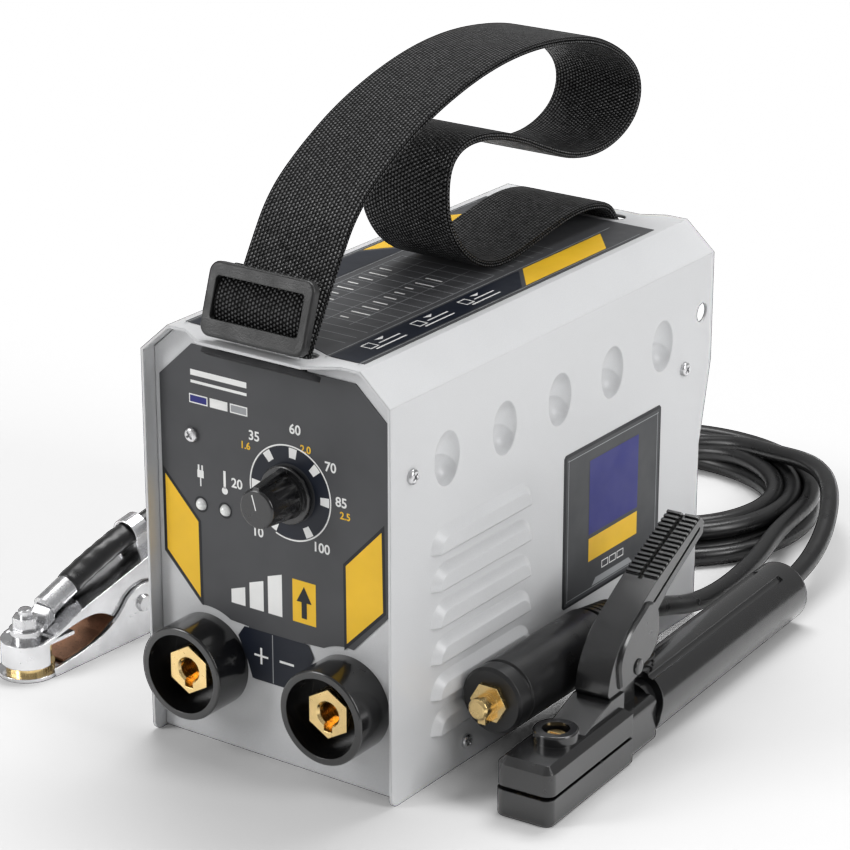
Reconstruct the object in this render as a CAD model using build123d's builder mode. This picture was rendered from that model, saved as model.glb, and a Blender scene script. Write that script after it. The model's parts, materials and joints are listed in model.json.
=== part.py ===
from build123d import *

import math
import os

# A portable inverter stick welder with its carrying strap, electrode holder and earth clamp.
# Frame: the origin is the middle of the case's base, +Z up, and the front panel faces -Y.
# Lengths are millimetres.

os.makedirs("parts", exist_ok=True)

# ---- driving dimensions -------------------------------------------------------------------
case_w = 120.0  # across the side walls
case_h = 177.5
case_l = 236.0  # along the top
case_l_low = 228.0  # along the foot of the side walls
shoulder_w, shoulder_h = 13.8, 12.2  # bevel between top and sides
gauge = 1.2  # sheet metal
gap = 0.3  # between cover and chassis
panel_depth = 6.6  # front panel's face behind the cover's edge
rear_depth = 14.0  # rear panel's face inside the cover's rear edge
front_y = -case_l / 2
rear_y = case_l / 2
panel_y = front_y + panel_depth
rear_panel_y = rear_y - rear_depth
inner_front = panel_y + gauge
inner_rear = rear_panel_y - gauge

socket_x, socket_z = 34.7, 36.4
bore_r = 4.6
knob_x, knob_z = 7.5, 118.0
cable_d = 8.5
cable_r = cable_d / 2
plug_r = 14.0
strap_w, strap_t = 42.0, 3.2
coil_x, coil_y = -14.0, front_y + 325.0
turn_r_in, turn_r_out = 58.4, 71.5  # middle of the inner and the outer winding

# outward mating places of the fan, in the rear panel
fan_size, fan_depth = 80.0, 25.0
fan_z = 112.0


def facing_front(y):
    """A plane whose local x is X and local y is Z, with its normal towards the front (-Y)."""
    return Plane(origin=(0, y, 0), x_dir=(1, 0, 0), z_dir=(0, -1, 0))


def facing_side(x):
    """A plane whose local x is Y and local y is Z, with its normal along +X."""
    return Plane(origin=(x, 0, 0), x_dir=(0, 1, 0), z_dir=(1, 0, 0))


def finish(builder, name):
    """Labels a finished piece and writes it as its own node."""
    builder.part.label = name
    export_step(builder.part, f"parts/{name}.step")


def case_section(inset, bottom):
    """The case's bevelled section, moved in by inset, from the height called bottom."""
    bevel = math.hypot(shoulder_w, shoulder_h)
    nx, nz = shoulder_h / bevel, shoulder_w / bevel
    side = case_w / 2 - inset
    shoulder = case_h - shoulder_h - inset * (1 - nx) / nz
    ridge = case_w / 2 - shoulder_w - inset * (1 - nz) / nx
    top = case_h - inset
    right = [(side, bottom), (side, shoulder), (ridge, top)]
    return right + [(-x, z) for x, z in reversed(right)]


def angle_radii(route):
    """The arc radius at each inner point of a cord's route: 0.45 of the shorter run over tan(turn / 2)."""
    points = [Vector(*p) for p in route]
    radii = []
    for before, here, after in zip(points, points[1:], points[2:]):
        run_in, run_out = here - before, after - here
        half_turn = math.radians(run_in.get_angle(run_out)) / 2
        radii.append(0.45 * min(run_in.length, run_out.length) / math.tan(half_turn))
    return radii


def lead(route, name):
    """A lead's plain tube, straight runs joined by tangent arcs."""
    radii = angle_radii(route)
    print(name, "radii", [round(r) for r in radii])
    with BuildPart() as tube:
        with BuildLine() as line:
            FilletPolyline(*route, radius=radii)
        start = line.wires()[0]
        with BuildSketch(Plane(origin=start @ 0, z_dir=start % 0)):
            Circle(cable_r)
        sweep(path=start, transition=Transition.ROUND)
    length = start.length
    section = math.pi * cable_r**2
    print(name, "length", round(length), "volume error", round(tube.part.volume / (section * length) - 1, 4))
    finish(tube, name)


def local_side(frame, x):
    """The plane across a tilted accessory at its own x: local x runs along it and local y is up."""
    return Plane(origin=frame.from_local_coords((x, 0, 0)), x_dir=frame.y_dir, z_dir=frame.x_dir)


def local_front(frame, y):
    """The plane across a tilted accessory at its own y, whose normal points along it, away from -Y."""
    return Plane(origin=frame.from_local_coords((0, y, 0)), x_dir=-frame.x_dir, z_dir=frame.y_dir)


def helix_spring(builder_plane, pitch, height, radius, wire, name):
    """A round-wire coil spring that stands on the given plane."""
    with BuildPart() as spring:
        with BuildLine():
            centre, along = tuple(builder_plane.origin), tuple(builder_plane.z_dir)
            coil = Helix(pitch=pitch, height=height, radius=radius, center=centre, direction=along)
        with BuildSketch(Plane(origin=coil @ 0, z_dir=coil % 0)):
            Circle(wire / 2)
        sweep(path=coil, is_frenet=True)
    finish(spring, name)


# ---- cover --------------------------------------------------------------------------------
side_screws = [(13.7, 134.5), (213.5, 118.8), (50.5, 9.1), (192.0, 9.1)]  # from the front, height
side_screws = [(front_y + y, z) for y, z in side_screws]
dimple_y = [front_y + y for y in (37.0, 76.5, 116.0, 155.5, 195.0)]
dimple_z, dimple_long, dimple_wide, dimple_deep = 134.5, 12.5, 9.5, 5.0
dent_r, dent_deep, dent_drop = 7.2, 6.4, 4.0
louver_z = [102.4 - 15.42 * k for k in range(6)]
louver_y0, louver_y1 = front_y + 26.0, front_y + 96.0
louver_high, louver_out, louver_taper = 10.0, 2.8, 52.0
vent_r, vent_y, vent_z = 4.2, front_y + 227.2, 140.5
lip_out = 8.2
strap_slot_front = front_y + 3.2
strap_slot_rear = front_y + 221.0
slot_w = 7.6


def scoop(grow):
    """A stamped dimple's spheroid, standing on its long axis at the origin and larger by grow."""
    with BuildPart() as solid:
        with BuildSketch(Plane.XZ):
            Ellipse(dimple_wide + grow, dimple_long + grow)
            with Locations((-50, 0)):
                Rectangle(100, 100, mode=Mode.SUBTRACT)
        revolve(axis=Axis.Z)
    return solid.part


def blister(shrink):
    """The upper half of a louver, flat on its lower side and smaller by shrink, rising along +X from 0."""
    long = louver_y1 - louver_y0 - 2 * shrink
    with BuildPart() as solid:
        with BuildSketch(facing_side(0)):
            SlotOverall(long, 2 * (louver_high - shrink))
        extrude(amount=louver_out, taper=louver_taper)
        with Locations((0, 0, -20)):
            Box(20, 2 * long, 40, mode=Mode.SUBTRACT)
    return solid.part


with BuildPart() as cover:
    with BuildSketch(facing_front(front_y)):
        Polygon((0, 0), *case_section(0, 0)[:3], (0, case_h))
        Polygon((-1, -1), *case_section(gauge, -1)[:3], (-1, case_h - gauge), mode=Mode.SUBTRACT)
    extrude(amount=-case_l)
    # the rear edge steps in towards the foot
    with BuildSketch(facing_side(0)):
        low = front_y + case_l_low
        Polygon((rear_y, 117), (low, 80), (low, -1), (rear_y + 5, -1), (rear_y + 5, 117))
    extrude(amount=case_w, mode=Mode.SUBTRACT)
    foot_corners = cover.edges().filter_by(Axis.X).group_by(Axis.Z)[0].group_by(Axis.Y)[0]
    fillet(foot_corners, radius=4)
    # front lip and the matching notch at the rear
    with BuildSketch(Plane.XY.offset(case_h - gauge)):
        Polygon((0, front_y), (0, front_y - lip_out), (24.7, front_y - lip_out), (37.2, front_y))
    extrude(amount=gauge)
    with BuildSketch(Plane.XY.offset(case_h - 2 * gauge)):
        Polygon((-1, rear_y + 1), (-1, rear_y - 5.5), (26, rear_y - 5.5), (37.8, rear_y + 1))
        with Locations((0, strap_slot_front), (0, strap_slot_rear)):
            SlotOverall(strap_w + 6, slot_w)
    extrude(amount=3 * gauge, mode=Mode.SUBTRACT)
    # thumb-shaped dimples: a pressed oval with a deeper round dent in its lower half
    ovals = [(case_w / 2 + dimple_wide - dimple_deep, y, dimple_z) for y in dimple_y]
    dents = [(case_w / 2 + dent_r - dent_deep, y, dimple_z - dent_drop) for y in dimple_y]
    with Locations(*ovals):
        add(scoop(gauge))
    with Locations(*dents):
        Sphere(dent_r + gauge)
    with Locations(*ovals):
        add(scoop(0), mode=Mode.SUBTRACT)
    with Locations(*dents):
        Sphere(dent_r, mode=Mode.SUBTRACT)
    with Locations((case_w / 2 + 20, 0, dimple_z)):
        Box(40, case_l + 20, 60, mode=Mode.SUBTRACT)
    # louvers: half-slot blisters, open along their lower edge
    feet = [((louver_y0 + louver_y1) / 2, z - louver_high / 2) for z in louver_z]
    with Locations(*[(case_w / 2, y, z) for y, z in feet]):
        add(blister(0))
    with Locations(*[(case_w / 2 - gauge, y, z) for y, z in feet]):
        add(blister(gauge), mode=Mode.SUBTRACT)
    with BuildSketch(facing_side(0)):
        with Locations(*side_screws):
            Circle(1.7)
        with Locations((vent_y, vent_z)):
            Circle(vent_r)
    extrude(amount=case_w, mode=Mode.SUBTRACT)
    mirror(about=Plane.YZ)
finish(cover, "cover")


# ---- chassis ------------------------------------------------------------------------------
switch_x, gland_x, rear_low_z = -30.0, 30.0, 38.0
pot_hole_r, led_r, gland_r = 4.6, 2.5, 9.3
led_places = [(-36.6, 102.9), (-24.5, 103.1)]
front_screw_x, front_screw_z = -40.3, 131.7
socket_places = [(-socket_x, socket_z), (socket_x, socket_z)]
neck_r = 15.0
tray_w = case_w - 2 * (gauge + gap)
fan_screw = 35.75
# side flanges: from y, to y, from z, to z
flanges = [
    (inner_front, front_y + 20, 120.0, 150.0),
    (front_y + 40, front_y + 60, gauge, 14.0),
    (front_y + 180, front_y + 200, gauge, 14.0),
    (front_y + 208, inner_rear, 105.0, 130.0),
]
with BuildPart() as base_chassis:
    with BuildSketch(facing_side(0)):
        with BuildLine():
            FilletPolyline(
                (panel_y, case_h), (panel_y, 0), (rear_panel_y, 0), (rear_panel_y, case_h), radius=1.8
            )
            Line((rear_panel_y, case_h), (inner_rear, case_h))
            FilletPolyline(
                (inner_rear, case_h), (inner_rear, gauge), (inner_front, gauge), (inner_front, case_h), radius=0.6
            )
            Line((inner_front, case_h), (panel_y, case_h))
        make_face()
    extrude(amount=case_w, both=True)
    with BuildSketch(facing_front(front_y)):
        Polygon(*case_section(gauge + gap, 0))
    extrude(amount=-case_l, mode=Mode.INTERSECT)
    for y0, y1, z0, z1 in flanges:
        with Locations((tray_w / 2 - gauge / 2, (y0 + y1) / 2, (z0 + z1) / 2)):
            Box(gauge, y1 - y0, z1 - z0)
        with Locations((-tray_w / 2 + gauge / 2, (y0 + y1) / 2, (z0 + z1) / 2)):
            Box(gauge, y1 - y0, z1 - z0)
    with BuildSketch(facing_side(0)):
        with Locations(*side_screws):
            Circle(1.55)
    extrude(amount=case_w, both=True, mode=Mode.SUBTRACT)
    # what sits in the front panel
    with BuildSketch(facing_front(inner_front + 1)):
        with Locations(*socket_places):
            Circle(neck_r)
        with Locations((knob_x, knob_z)):
            Circle(pot_hole_r)
        with Locations(*led_places):
            Circle(led_r + 0.1)
        with Locations((front_screw_x, front_screw_z)):
            Circle(1.55)
    extrude(amount=4, mode=Mode.SUBTRACT)
    # what sits in the rear panel, and the notch that the strap's end needs
    with BuildSketch(facing_front(rear_panel_y + 1)):
        with Locations((0, fan_z)):
            Circle(37)
        with Locations((switch_x, rear_low_z)):
            Rectangle(22.2, 28.2)
        with Locations((gland_x, rear_low_z)):
            Circle(gland_r + 0.1)
        with Locations((0, case_h)):
            Rectangle(58, 24)
    extrude(amount=4, mode=Mode.SUBTRACT)
finish(base_chassis, "base_chassis")

# ---- screws -------------------------------------------------------------------------------
screw_r, head_r, head_h = 1.5, 3.1, 1.9


def pan_screw(plane, length):
    """A cross-recessed pan-head screw whose head sits on the given plane."""
    with BuildPart(plane) as screw:
        Cylinder(head_r, head_h, align=(Align.CENTER, Align.CENTER, Align.MIN))
        fillet(screw.edges().group_by(SortBy.LENGTH)[-1].sort_by(plane_axis(plane))[-1], radius=1.2)
        with BuildSketch(plane.offset(head_h)):
            Rectangle(3.6, 0.9)
            Rectangle(0.9, 3.6)
        extrude(amount=-1.1, mode=Mode.SUBTRACT)
        with Locations((0, 0, 0)):
            Cylinder(screw_r, length, align=(Align.CENTER, Align.CENTER, Align.MAX))
    return screw.part


def plane_axis(plane):
    """The axis along a plane's normal."""
    return Axis(plane.origin, plane.z_dir)


screw_planes = []
for screw_y, screw_z in side_screws:
    for side in (-1, 1):
        origin = (side * case_w / 2, screw_y, screw_z)
        screw_planes.append(Plane(origin=origin, x_dir=(0, 0.8, 0.6), z_dir=(side, 0, 0)))
fascia_t = 0.4
screw_planes.append(
    Plane(origin=(front_screw_x, panel_y - fascia_t, front_screw_z), x_dir=(0.8, 0, 0.6), z_dir=(0, -1, 0))
)
with BuildPart() as case_screws:
    for place in screw_planes:
        add(pan_screw(place, 9))
finish(case_screws, "case_screws")

# ---- printed overlays ---------------------------------------------------------------------
label_t = 0.25
film_clear_r = 23.2
with BuildPart() as front_fascia:
    with BuildSketch(facing_front(panel_y)):
        Polygon(
            (-39.7, 169.4), (39.7, 169.4), (54.3, 156.3), (54.3, 77.2), (35.5, 57.2), (14, 56), (13, 33.9),
            (-13, 33.9), (-14, 56), (-35.5, 57.2), (-56.2, 78.6), (-56.2, 154.0), align=None
        )
        # bare panel shows in a ring round each socket
        with Locations(*socket_places):
            Circle(film_clear_r, mode=Mode.SUBTRACT)
        with Locations((knob_x, knob_z)):
            Circle(pot_hole_r, mode=Mode.SUBTRACT)
        with Locations(*led_places):
            Circle(led_r + 0.1, mode=Mode.SUBTRACT)
        with Locations((front_screw_x, front_screw_z)):
            Circle(1.7, mode=Mode.SUBTRACT)
    extrude(amount=fascia_t)
finish(front_fascia, "front_fascia")

with BuildPart() as top_label:
    with BuildSketch(Plane.XY.offset(case_h)):
        front_edge = front_y + 7.4
        notch_back = front_y + 12
        rear_edge = front_y + 214
        Polygon(
            (-43, front_edge), (-26, front_edge), (-15, notch_back), (15, notch_back), (26, front_edge),
            (43, front_edge), (43, rear_edge), (-43, rear_edge)
        )
    extrude(amount=label_t)
finish(top_label, "top_label")

with BuildPart() as side_labels:
    with BuildSketch(facing_side(case_w / 2)):
        with Locations((front_y + 157.5, 74.2)):
            Rectangle(75, 68.4)
        chamfer(vertices(), length=7)
    extrude(amount=label_t)
    mirror(about=Plane.YZ)
finish(side_labels, "side_labels")

# ---- front panel fittings -----------------------------------------------------------------
shroud_r, shroud_inner_r = 19.7, 16.6
shroud_front, shroud_floor = front_y - 11.9, front_y + 5.0
fascia_y = panel_y - fascia_t
contact_front, contact_rear = front_y - 7.0, front_y + 24.0
contact_af = 18.0
contact_corner = contact_af / math.sqrt(3)
with BuildPart() as socket_bodies:
    with BuildSketch(facing_front(shroud_front)):
        with Locations(*socket_places):
            Circle(shroud_r)
    extrude(amount=shroud_front - panel_y)
    mouths = socket_bodies.edges().filter_by(GeomType.CIRCLE).group_by(Axis.Y)[0]
    fillet(mouths, radius=0.9)
    with BuildSketch(facing_front(panel_y)):
        with Locations(*socket_places):
            Circle(neck_r - 0.1)
    extrude(amount=-13)
    with BuildSketch(facing_front(shroud_front)):
        with Locations(*socket_places):
            Circle(shroud_inner_r)
    extrude(amount=shroud_front - shroud_floor, mode=Mode.SUBTRACT)
    with BuildSketch(facing_front(shroud_front)):
        with Locations(*socket_places):
            RegularPolygon(contact_corner + 0.05, 6, rotation=30)
    extrude(amount=-60, mode=Mode.SUBTRACT)
    # the rounded boss that polarises each socket, on its floor beside the contact
    with BuildSketch(facing_front(shroud_floor)):
        with Locations(*[(x - 10.5, z - 9.0) for x, z in socket_places]):
            Circle(1.9)
    extrude(amount=3)
finish(socket_bodies, "socket_bodies")

key_w, key_r = 4.0, 7.6
with BuildPart() as socket_contacts:
    with BuildSketch(facing_front(contact_front)):
        with Locations(*socket_places):
            RegularPolygon(contact_corner, 6, rotation=30)
    extrude(amount=contact_front - contact_rear)
    with BuildSketch(facing_front(contact_front)):
        with Locations(*socket_places):
            Circle(bore_r)
    extrude(amount=-22, mode=Mode.SUBTRACT)
    with BuildSketch(facing_front(contact_front)):
        with Locations(*[(x, z - key_r / 2) for x, z in socket_places]):
            Rectangle(key_w, key_r)
    extrude(amount=-8, mode=Mode.SUBTRACT)
    with BuildSketch(facing_front(contact_front)):
        with Locations(*socket_places):
            Circle(bore_r + 0.9)
    extrude(amount=-1.1, taper=39, mode=Mode.SUBTRACT)
    # tapped hole for the cable lug inside the case
    with BuildSketch(facing_front(contact_rear)):
        with Locations(*socket_places):
            Circle(2.5)
    extrude(amount=7, mode=Mode.SUBTRACT)
finish(socket_contacts, "socket_contacts")

shaft_r = 3.0
pot_rear = inner_front + 11
board_front = inner_front + 14.2
with BuildPart() as potentiometer:
    with BuildSketch(facing_front(inner_front)):
        with Locations((knob_x, knob_z)):
            Circle(8.5)
    extrude(amount=-(pot_rear - inner_front))
    with BuildSketch(facing_front(pot_rear)):
        with Locations((knob_x, knob_z)):
            Rectangle(12, 12)
    extrude(amount=-(board_front - pot_rear))
    with BuildSketch(facing_front(inner_front)):
        with Locations((knob_x, knob_z)):
            Circle(pot_hole_r - 0.1)
    extrude(amount=inner_front - fascia_y + 1.4)
    with BuildSketch(facing_front(fascia_y - 2)):
        with Locations((knob_x, knob_z)):
            Circle(shaft_r + 0.05)
    extrude(amount=-(pot_rear - fascia_y), mode=Mode.SUBTRACT)
finish(potentiometer, "potentiometer")

with BuildPart() as knob_shaft:
    with BuildSketch(facing_front(front_y - 12)):
        with Locations((knob_x, knob_z)):
            Circle(shaft_r)
    extrude(amount=-(pot_rear - 2.5 - (front_y - 12)))
finish(knob_shaft, "knob_shaft")

knob_skirt_r, knob_r, knob_tip_r = 12.0, 9.5, 7.9
knob_back, knob_skirt_top, knob_front = front_y + 4.4, front_y + 2.6, front_y - 14.8
with BuildPart() as current_knob:
    with BuildSketch(facing_front(knob_back)):
        with Locations((knob_x, knob_z)):
            Circle(knob_skirt_r)
    extrude(amount=knob_back - knob_skirt_top)
    fillet(current_knob.edges().filter_by(GeomType.CIRCLE).sort_by(Axis.Y)[0], radius=0.8)
    with BuildSketch(facing_front(knob_skirt_top)):
        with Locations((knob_x, knob_z)):
            Circle(knob_r)
    draft = math.degrees(math.atan((knob_r - knob_tip_r) / (knob_skirt_top - knob_front)))
    extrude(amount=knob_skirt_top - knob_front, taper=draft)
    fillet(current_knob.edges().filter_by(GeomType.CIRCLE).sort_by(Axis.Y)[0], radius=1.0)
    # grip flutes
    with BuildSketch(facing_front(knob_front)):
        with Locations((knob_x, knob_z)):
            with PolarLocations(knob_r + 1.6, 10, start_angle=90 + 36, angular_range=288 + 36):
                Circle(2.9)
    extrude(amount=-(knob_skirt_top - knob_front - 1.5), mode=Mode.SUBTRACT)
    # pointer fin
    with BuildSketch(facing_side(knob_x)):
        Polygon(
            (knob_back, knob_z + 6), (knob_front + 0.4, knob_z + 5), (knob_front + 0.4, knob_z + 9.0),
            (knob_back - 2, knob_z + 11.4), (knob_back, knob_z + 11.4)
        )
    extrude(amount=1.4, both=True)
    with BuildSketch(facing_front(front_y + 10)):
        with Locations((knob_x, knob_z)):
            Circle(shaft_r)
    extrude(amount=22, mode=Mode.SUBTRACT)
    # the pot's bushing and nut sit inside the skirt
    with BuildSketch(facing_front(front_y + 10)):
        with Locations((knob_x, knob_z)):
            Circle(6.5)
    extrude(amount=7, mode=Mode.SUBTRACT)
finish(current_knob, "current_knob")

with BuildPart() as indicator_lights:
    for led_x, led_z in led_places:
        with BuildSketch(Plane.YZ.offset(led_x)):
            with BuildLine():
                top = front_y + 4.2
                shank = top + led_r
                Polyline((top, led_z), (board_front, led_z), (board_front, led_z + led_r), (shank, led_z + led_r))
                RadiusArc((shank, led_z + led_r), (top, led_z), -led_r)
            make_face()
        revolve(axis=Axis((led_x, 0, led_z), (0, 1, 0)))
finish(indicator_lights, "indicator_lights")

# ---- electronics inside the case ----------------------------------------------------------
board_t, board_z = 1.6, 22.0
board_y0, board_y1 = front_y + 40, front_y + 186
board_x = 52.0
with BuildPart() as control_board:
    with BuildSketch(facing_front(board_front)):
        with Locations((0, 106)):
            Rectangle(96, 88)
            with Locations((front_screw_x, front_screw_z - 106)):
                Circle(1.7, mode=Mode.SUBTRACT)
    extrude(amount=-board_t)
finish(control_board, "control_board")

board_mid_y = (board_y0 + board_y1) / 2
with BuildPart() as power_board:
    with Locations((0, board_mid_y, board_z + board_t / 2)):
        Box(2 * board_x, board_y1 - board_y0, board_t)
    with BuildSketch(Plane.XY.offset(gauge)):
        with Locations((0, board_mid_y)):
            with GridLocations(90, 132, 2, 2):
                Circle(3)
    extrude(amount=board_z - gauge)
finish(power_board, "power_board")

board_top = board_z + board_t
sink_y0, sink_y1 = front_y + 112, front_y + 184
sink_face, sink_edge = 27.0, 50.0
fin_places = [board_top + 6 + 8 * k for k in range(10)]


def heatsink(side, name):
    """A finned heatsink standing on the power board, its flat face towards the middle."""
    mid_y = (sink_y0 + sink_y1) / 2
    with BuildPart() as sink:
        with Locations((side * (sink_face + 2.5), mid_y, board_top + 41)):
            Box(5, sink_y1 - sink_y0, 82)
        for fin_z in fin_places:
            with Locations((side * (sink_face + 3 + (sink_edge - sink_face - 3) / 2), mid_y, fin_z)):
                Box(sink_edge - sink_face - 3, sink_y1 - sink_y0, 2)
    finish(sink, name)


heatsink(-1, "primary_heatsink")
heatsink(1, "secondary_heatsink")

with BuildPart() as power_transistors:
    for side in (-1, 1):
        for part_y in (sink_y0 + 14, sink_y0 + 36, sink_y0 + 58):
            with Locations((side * (sink_face - 2.5), part_y, board_top + 40)):
                Box(5, 16, 21)
            with Locations(*[(side * (sink_face - 2.5), part_y + dy, board_top + 14.8) for dy in (-5.4, 0, 5.4)]):
                Box(0.8, 1.4, 29.6)
finish(power_transistors, "power_transistors")

core_x, core_y = 26.0, front_y + 76
core_w, core_d, core_h = 44.0, 26.0, 48.0
with BuildPart() as transformer_core:
    with BuildSketch(facing_front(core_y - core_d / 2)):
        with Locations((core_x, board_top + core_h / 2)):
            Rectangle(core_w, core_h)
            with Locations((-9.5, 0), (9.5, 0)):
                Rectangle(8, core_h - 16, mode=Mode.SUBTRACT)
    extrude(amount=-core_d)
finish(transformer_core, "transformer_core")

with BuildPart() as transformer_winding:
    with BuildSketch(Plane.XY.offset(board_top + 8.6)):
        with Locations((core_x, core_y)):
            RectangleRounded(26.4, core_d + 15, 5)
            Rectangle(11.4, core_d + 0.4, mode=Mode.SUBTRACT)
    extrude(amount=core_h - 17.2)
finish(transformer_winding, "transformer_winding")

with BuildPart() as output_choke:
    choke_y = front_y + 160
    with BuildSketch(Plane.XY.offset(board_top + 2.4)):
        with Locations((0, choke_y)):
            Circle(18.5)
            Circle(10.5, mode=Mode.SUBTRACT)
    extrude(amount=14)
    with Locations((0, choke_y, board_top)):
        with PolarLocations(14.5, 16):
            Box(12.4, 3.2, 18.8, align=(Align.CENTER, Align.CENTER, Align.MIN))
finish(output_choke, "output_choke")

with BuildPart() as capacitors:
    with BuildSketch(Plane.XY.offset(board_top)):
        with Locations((-33, front_y + 58), (-33, front_y + 92)):
            Circle(15)
    extrude(amount=45)
    fillet(capacitors.edges().filter_by(GeomType.CIRCLE).group_by(Axis.Z)[-1], radius=1.2)
finish(capacitors, "capacitors")

with BuildPart() as bridge_rectifier:
    with Locations((0, front_y + 124, board_top + 5)):
        Box(28, 26, 10)
        Cylinder(2.2, 10, mode=Mode.SUBTRACT)
finish(bridge_rectifier, "bridge_rectifier")

# ---- fan ----------------------------------------------------------------------------------
fan_front = inner_rear - fan_depth
hub_r, blade_r, fan_bore_r, spindle_r = 14.0, 36.5, 38.0, 2.0
with BuildPart() as fan_housing:
    with BuildSketch(facing_front(fan_front)):
        with Locations((0, fan_z)):
            RectangleRounded(fan_size, fan_size, 4)
            Circle(fan_bore_r, mode=Mode.SUBTRACT)
            with GridLocations(2 * fan_screw, 2 * fan_screw, 2, 2):
                Circle(2.2, mode=Mode.SUBTRACT)
    extrude(amount=-fan_depth)
    # motor bracket at the rear: three arms and a disc with the spindle
    with BuildSketch(facing_front(inner_rear - 3)):
        with Locations((0, fan_z)):
            Circle(hub_r)
            with PolarLocations((hub_r + fan_bore_r) / 2, 4, start_angle=45):
                Rectangle(fan_bore_r - hub_r + 2, 4)
    extrude(amount=-3)
    with BuildSketch(facing_front(inner_rear - 3)):
        with Locations((0, fan_z)):
            Circle(spindle_r)
    extrude(amount=fan_depth - 9.5)
finish(fan_housing, "fan_housing")

blade_len = fan_depth - 10
with BuildPart() as fan_impeller:
    with BuildSketch(facing_front(fan_front + 2)):
        with Locations((0, fan_z)):
            Circle(hub_r)
    extrude(amount=-(fan_depth - 6.5))
    with Locations((0, fan_front + 2 + (fan_depth - 6.5) / 2, fan_z)):
        with Locations(Rotation(90, 0, 0)):
            with PolarLocations((hub_r + blade_r) / 2 - 0.5, 7):
                with Locations(Rotation(38, 0, 0)):
                    Box(blade_r - hub_r + 1, 1.8, blade_len)
    with BuildSketch(facing_front(inner_rear)):
        with Locations((0, fan_z)):
            Circle(spindle_r + 0.05)
    extrude(amount=fan_depth - 6, mode=Mode.SUBTRACT)
finish(fan_impeller, "fan_impeller")

with BuildPart() as fan_guard:
    with BuildSketch(facing_front(rear_panel_y)):
        with Locations((0, fan_z)):
            for ring_r in (12, 20, 28, 36.5, 41):
                Circle(ring_r)
                Circle(ring_r - 1.8, mode=Mode.SUBTRACT)
    extrude(amount=-1.8)
    with BuildSketch(facing_front(rear_panel_y)):
        with Locations((0, fan_z)):
            with Locations(Rotation(0, 0, 45), Rotation(0, 0, 135)):
                Rectangle(2 * fan_screw * math.sqrt(2), 2.2)
            with GridLocations(2 * fan_screw, 2 * fan_screw, 2, 2):
                Circle(4)
    extrude(amount=-1.8)
finish(fan_guard, "fan_guard")

# ---- mains switch and gland on the rear panel ---------------------------------------------
rocker_y = rear_panel_y + 0.6
rocker_w = 17.6
with BuildPart() as switch_housing:
    with BuildSketch(facing_front(rear_panel_y + 2)):
        with Locations((switch_x, rear_low_z)):
            RectangleRounded(25.5, 31, 1.2)
    extrude(amount=2)
    with BuildSketch(facing_front(rear_panel_y)):
        with Locations((switch_x, rear_low_z)):
            Rectangle(22, 28)
    extrude(amount=24)
    with BuildSketch(facing_front(rear_panel_y + 3)):
        with Locations((switch_x, rear_low_z)):
            Rectangle(rocker_w + 0.8, 25.8)
    extrude(amount=14.5, mode=Mode.SUBTRACT)
    with BuildSketch(facing_side(switch_x)):
        with Locations((rocker_y, rear_low_z)):
            Circle(1.55)
    extrude(amount=rocker_w / 2 + 1.6, both=True, mode=Mode.SUBTRACT)
    with BuildSketch(facing_front(rear_panel_y - 24)):
        with Locations((switch_x, rear_low_z)):
            with GridLocations(12, 12, 2, 2):
                Rectangle(0.8, 6.3)
    extrude(amount=8)
finish(switch_housing, "switch_housing")

rocker_tilt = 10.0
with BuildPart() as rocker_button:
    tilt = math.radians(rocker_tilt)
    tilted = Plane(
        origin=(switch_x, rocker_y, rear_low_z), x_dir=(0, math.cos(tilt), math.sin(tilt)), z_dir=(1, 0, 0)
    )
    with BuildSketch(tilted):
        Polygon((-5, -8), (4.4, -11.5), (2.4, 0), (4.4, 11.5), (-5, 8), align=None)
    extrude(amount=rocker_w / 2, both=True)
    with BuildSketch(tilted):
        Circle(1.5)
    extrude(amount=rocker_w / 2 + 1.4, both=True)
finish(rocker_button, "rocker_button")

gland_bore_r = 4.6
with BuildPart() as mains_gland:
    with BuildSketch(facing_front(rear_panel_y)):
        with Locations((gland_x, rear_low_z)):
            RegularPolygon(12.5, 6)
    extrude(amount=-6)
    with BuildSketch(facing_front(rear_panel_y + 6)):
        with Locations((gland_x, rear_low_z)):
            Circle(10.2)
    extrude(amount=-10, taper=14)
    with BuildSketch(facing_front(rear_panel_y)):
        with Locations((gland_x, rear_low_z)):
            Circle(gland_r)
    extrude(amount=12)
    with BuildSketch(facing_front(inner_rear)):
        with Locations((gland_x, rear_low_z)):
            RegularPolygon(12.5, 6)
    extrude(amount=5)
    with BuildSketch(facing_front(rear_panel_y + 20)):
        with Locations((gland_x, rear_low_z)):
            Circle(gland_bore_r)
    extrude(amount=60, mode=Mode.SUBTRACT)
finish(mains_gland, "mains_gland")

# ---- carrying strap -----------------------------------------------------------------------
# middle of the webbing, as distance behind the case's front edge and height
strap_line = [
    (-0.4, 172), (3.0, 177.5), (21.3, 208.8), (33.2, 226.9), (53.5, 240.3), (79.9, 253.0), (116.0, 262.9),
    (149.4, 266.2), (182.1, 263.4), (208.5, 256.9), (232.0, 242.6), (237.7, 229.2), (230.2, 217.2),
    (210.4, 210.7), (186.2, 212.4), (162.4, 221.7), (145.9, 229.2), (125.6, 235.5), (105.9, 237.1),
    (94.9, 230.7), (92.6, 217.2), (95.2, 203.9), (106.5, 190.0), (122.2, 181.4), (140.4, 180.4),
    (163.4, 184.8), (187.0, 188.6), (206.6, 187.0), (217.8, 181.6), (222.4, 172.0)
]
strap_path = [(0, front_y + y, z) for y, z in strap_line]
with BuildPart() as carry_strap:
    with BuildLine() as strap_route:
        FilletPolyline(*strap_path, radius=angle_radii(strap_path))
    strap_wire = strap_route.wires()[0]
    with BuildSketch(Plane(origin=strap_wire @ 0, x_dir=(1, 0, 0), z_dir=strap_wire % 0)):
        Rectangle(strap_w, strap_t)
    sweep(path=strap_wire)
print("carry_strap length", round(strap_wire.length))
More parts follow.
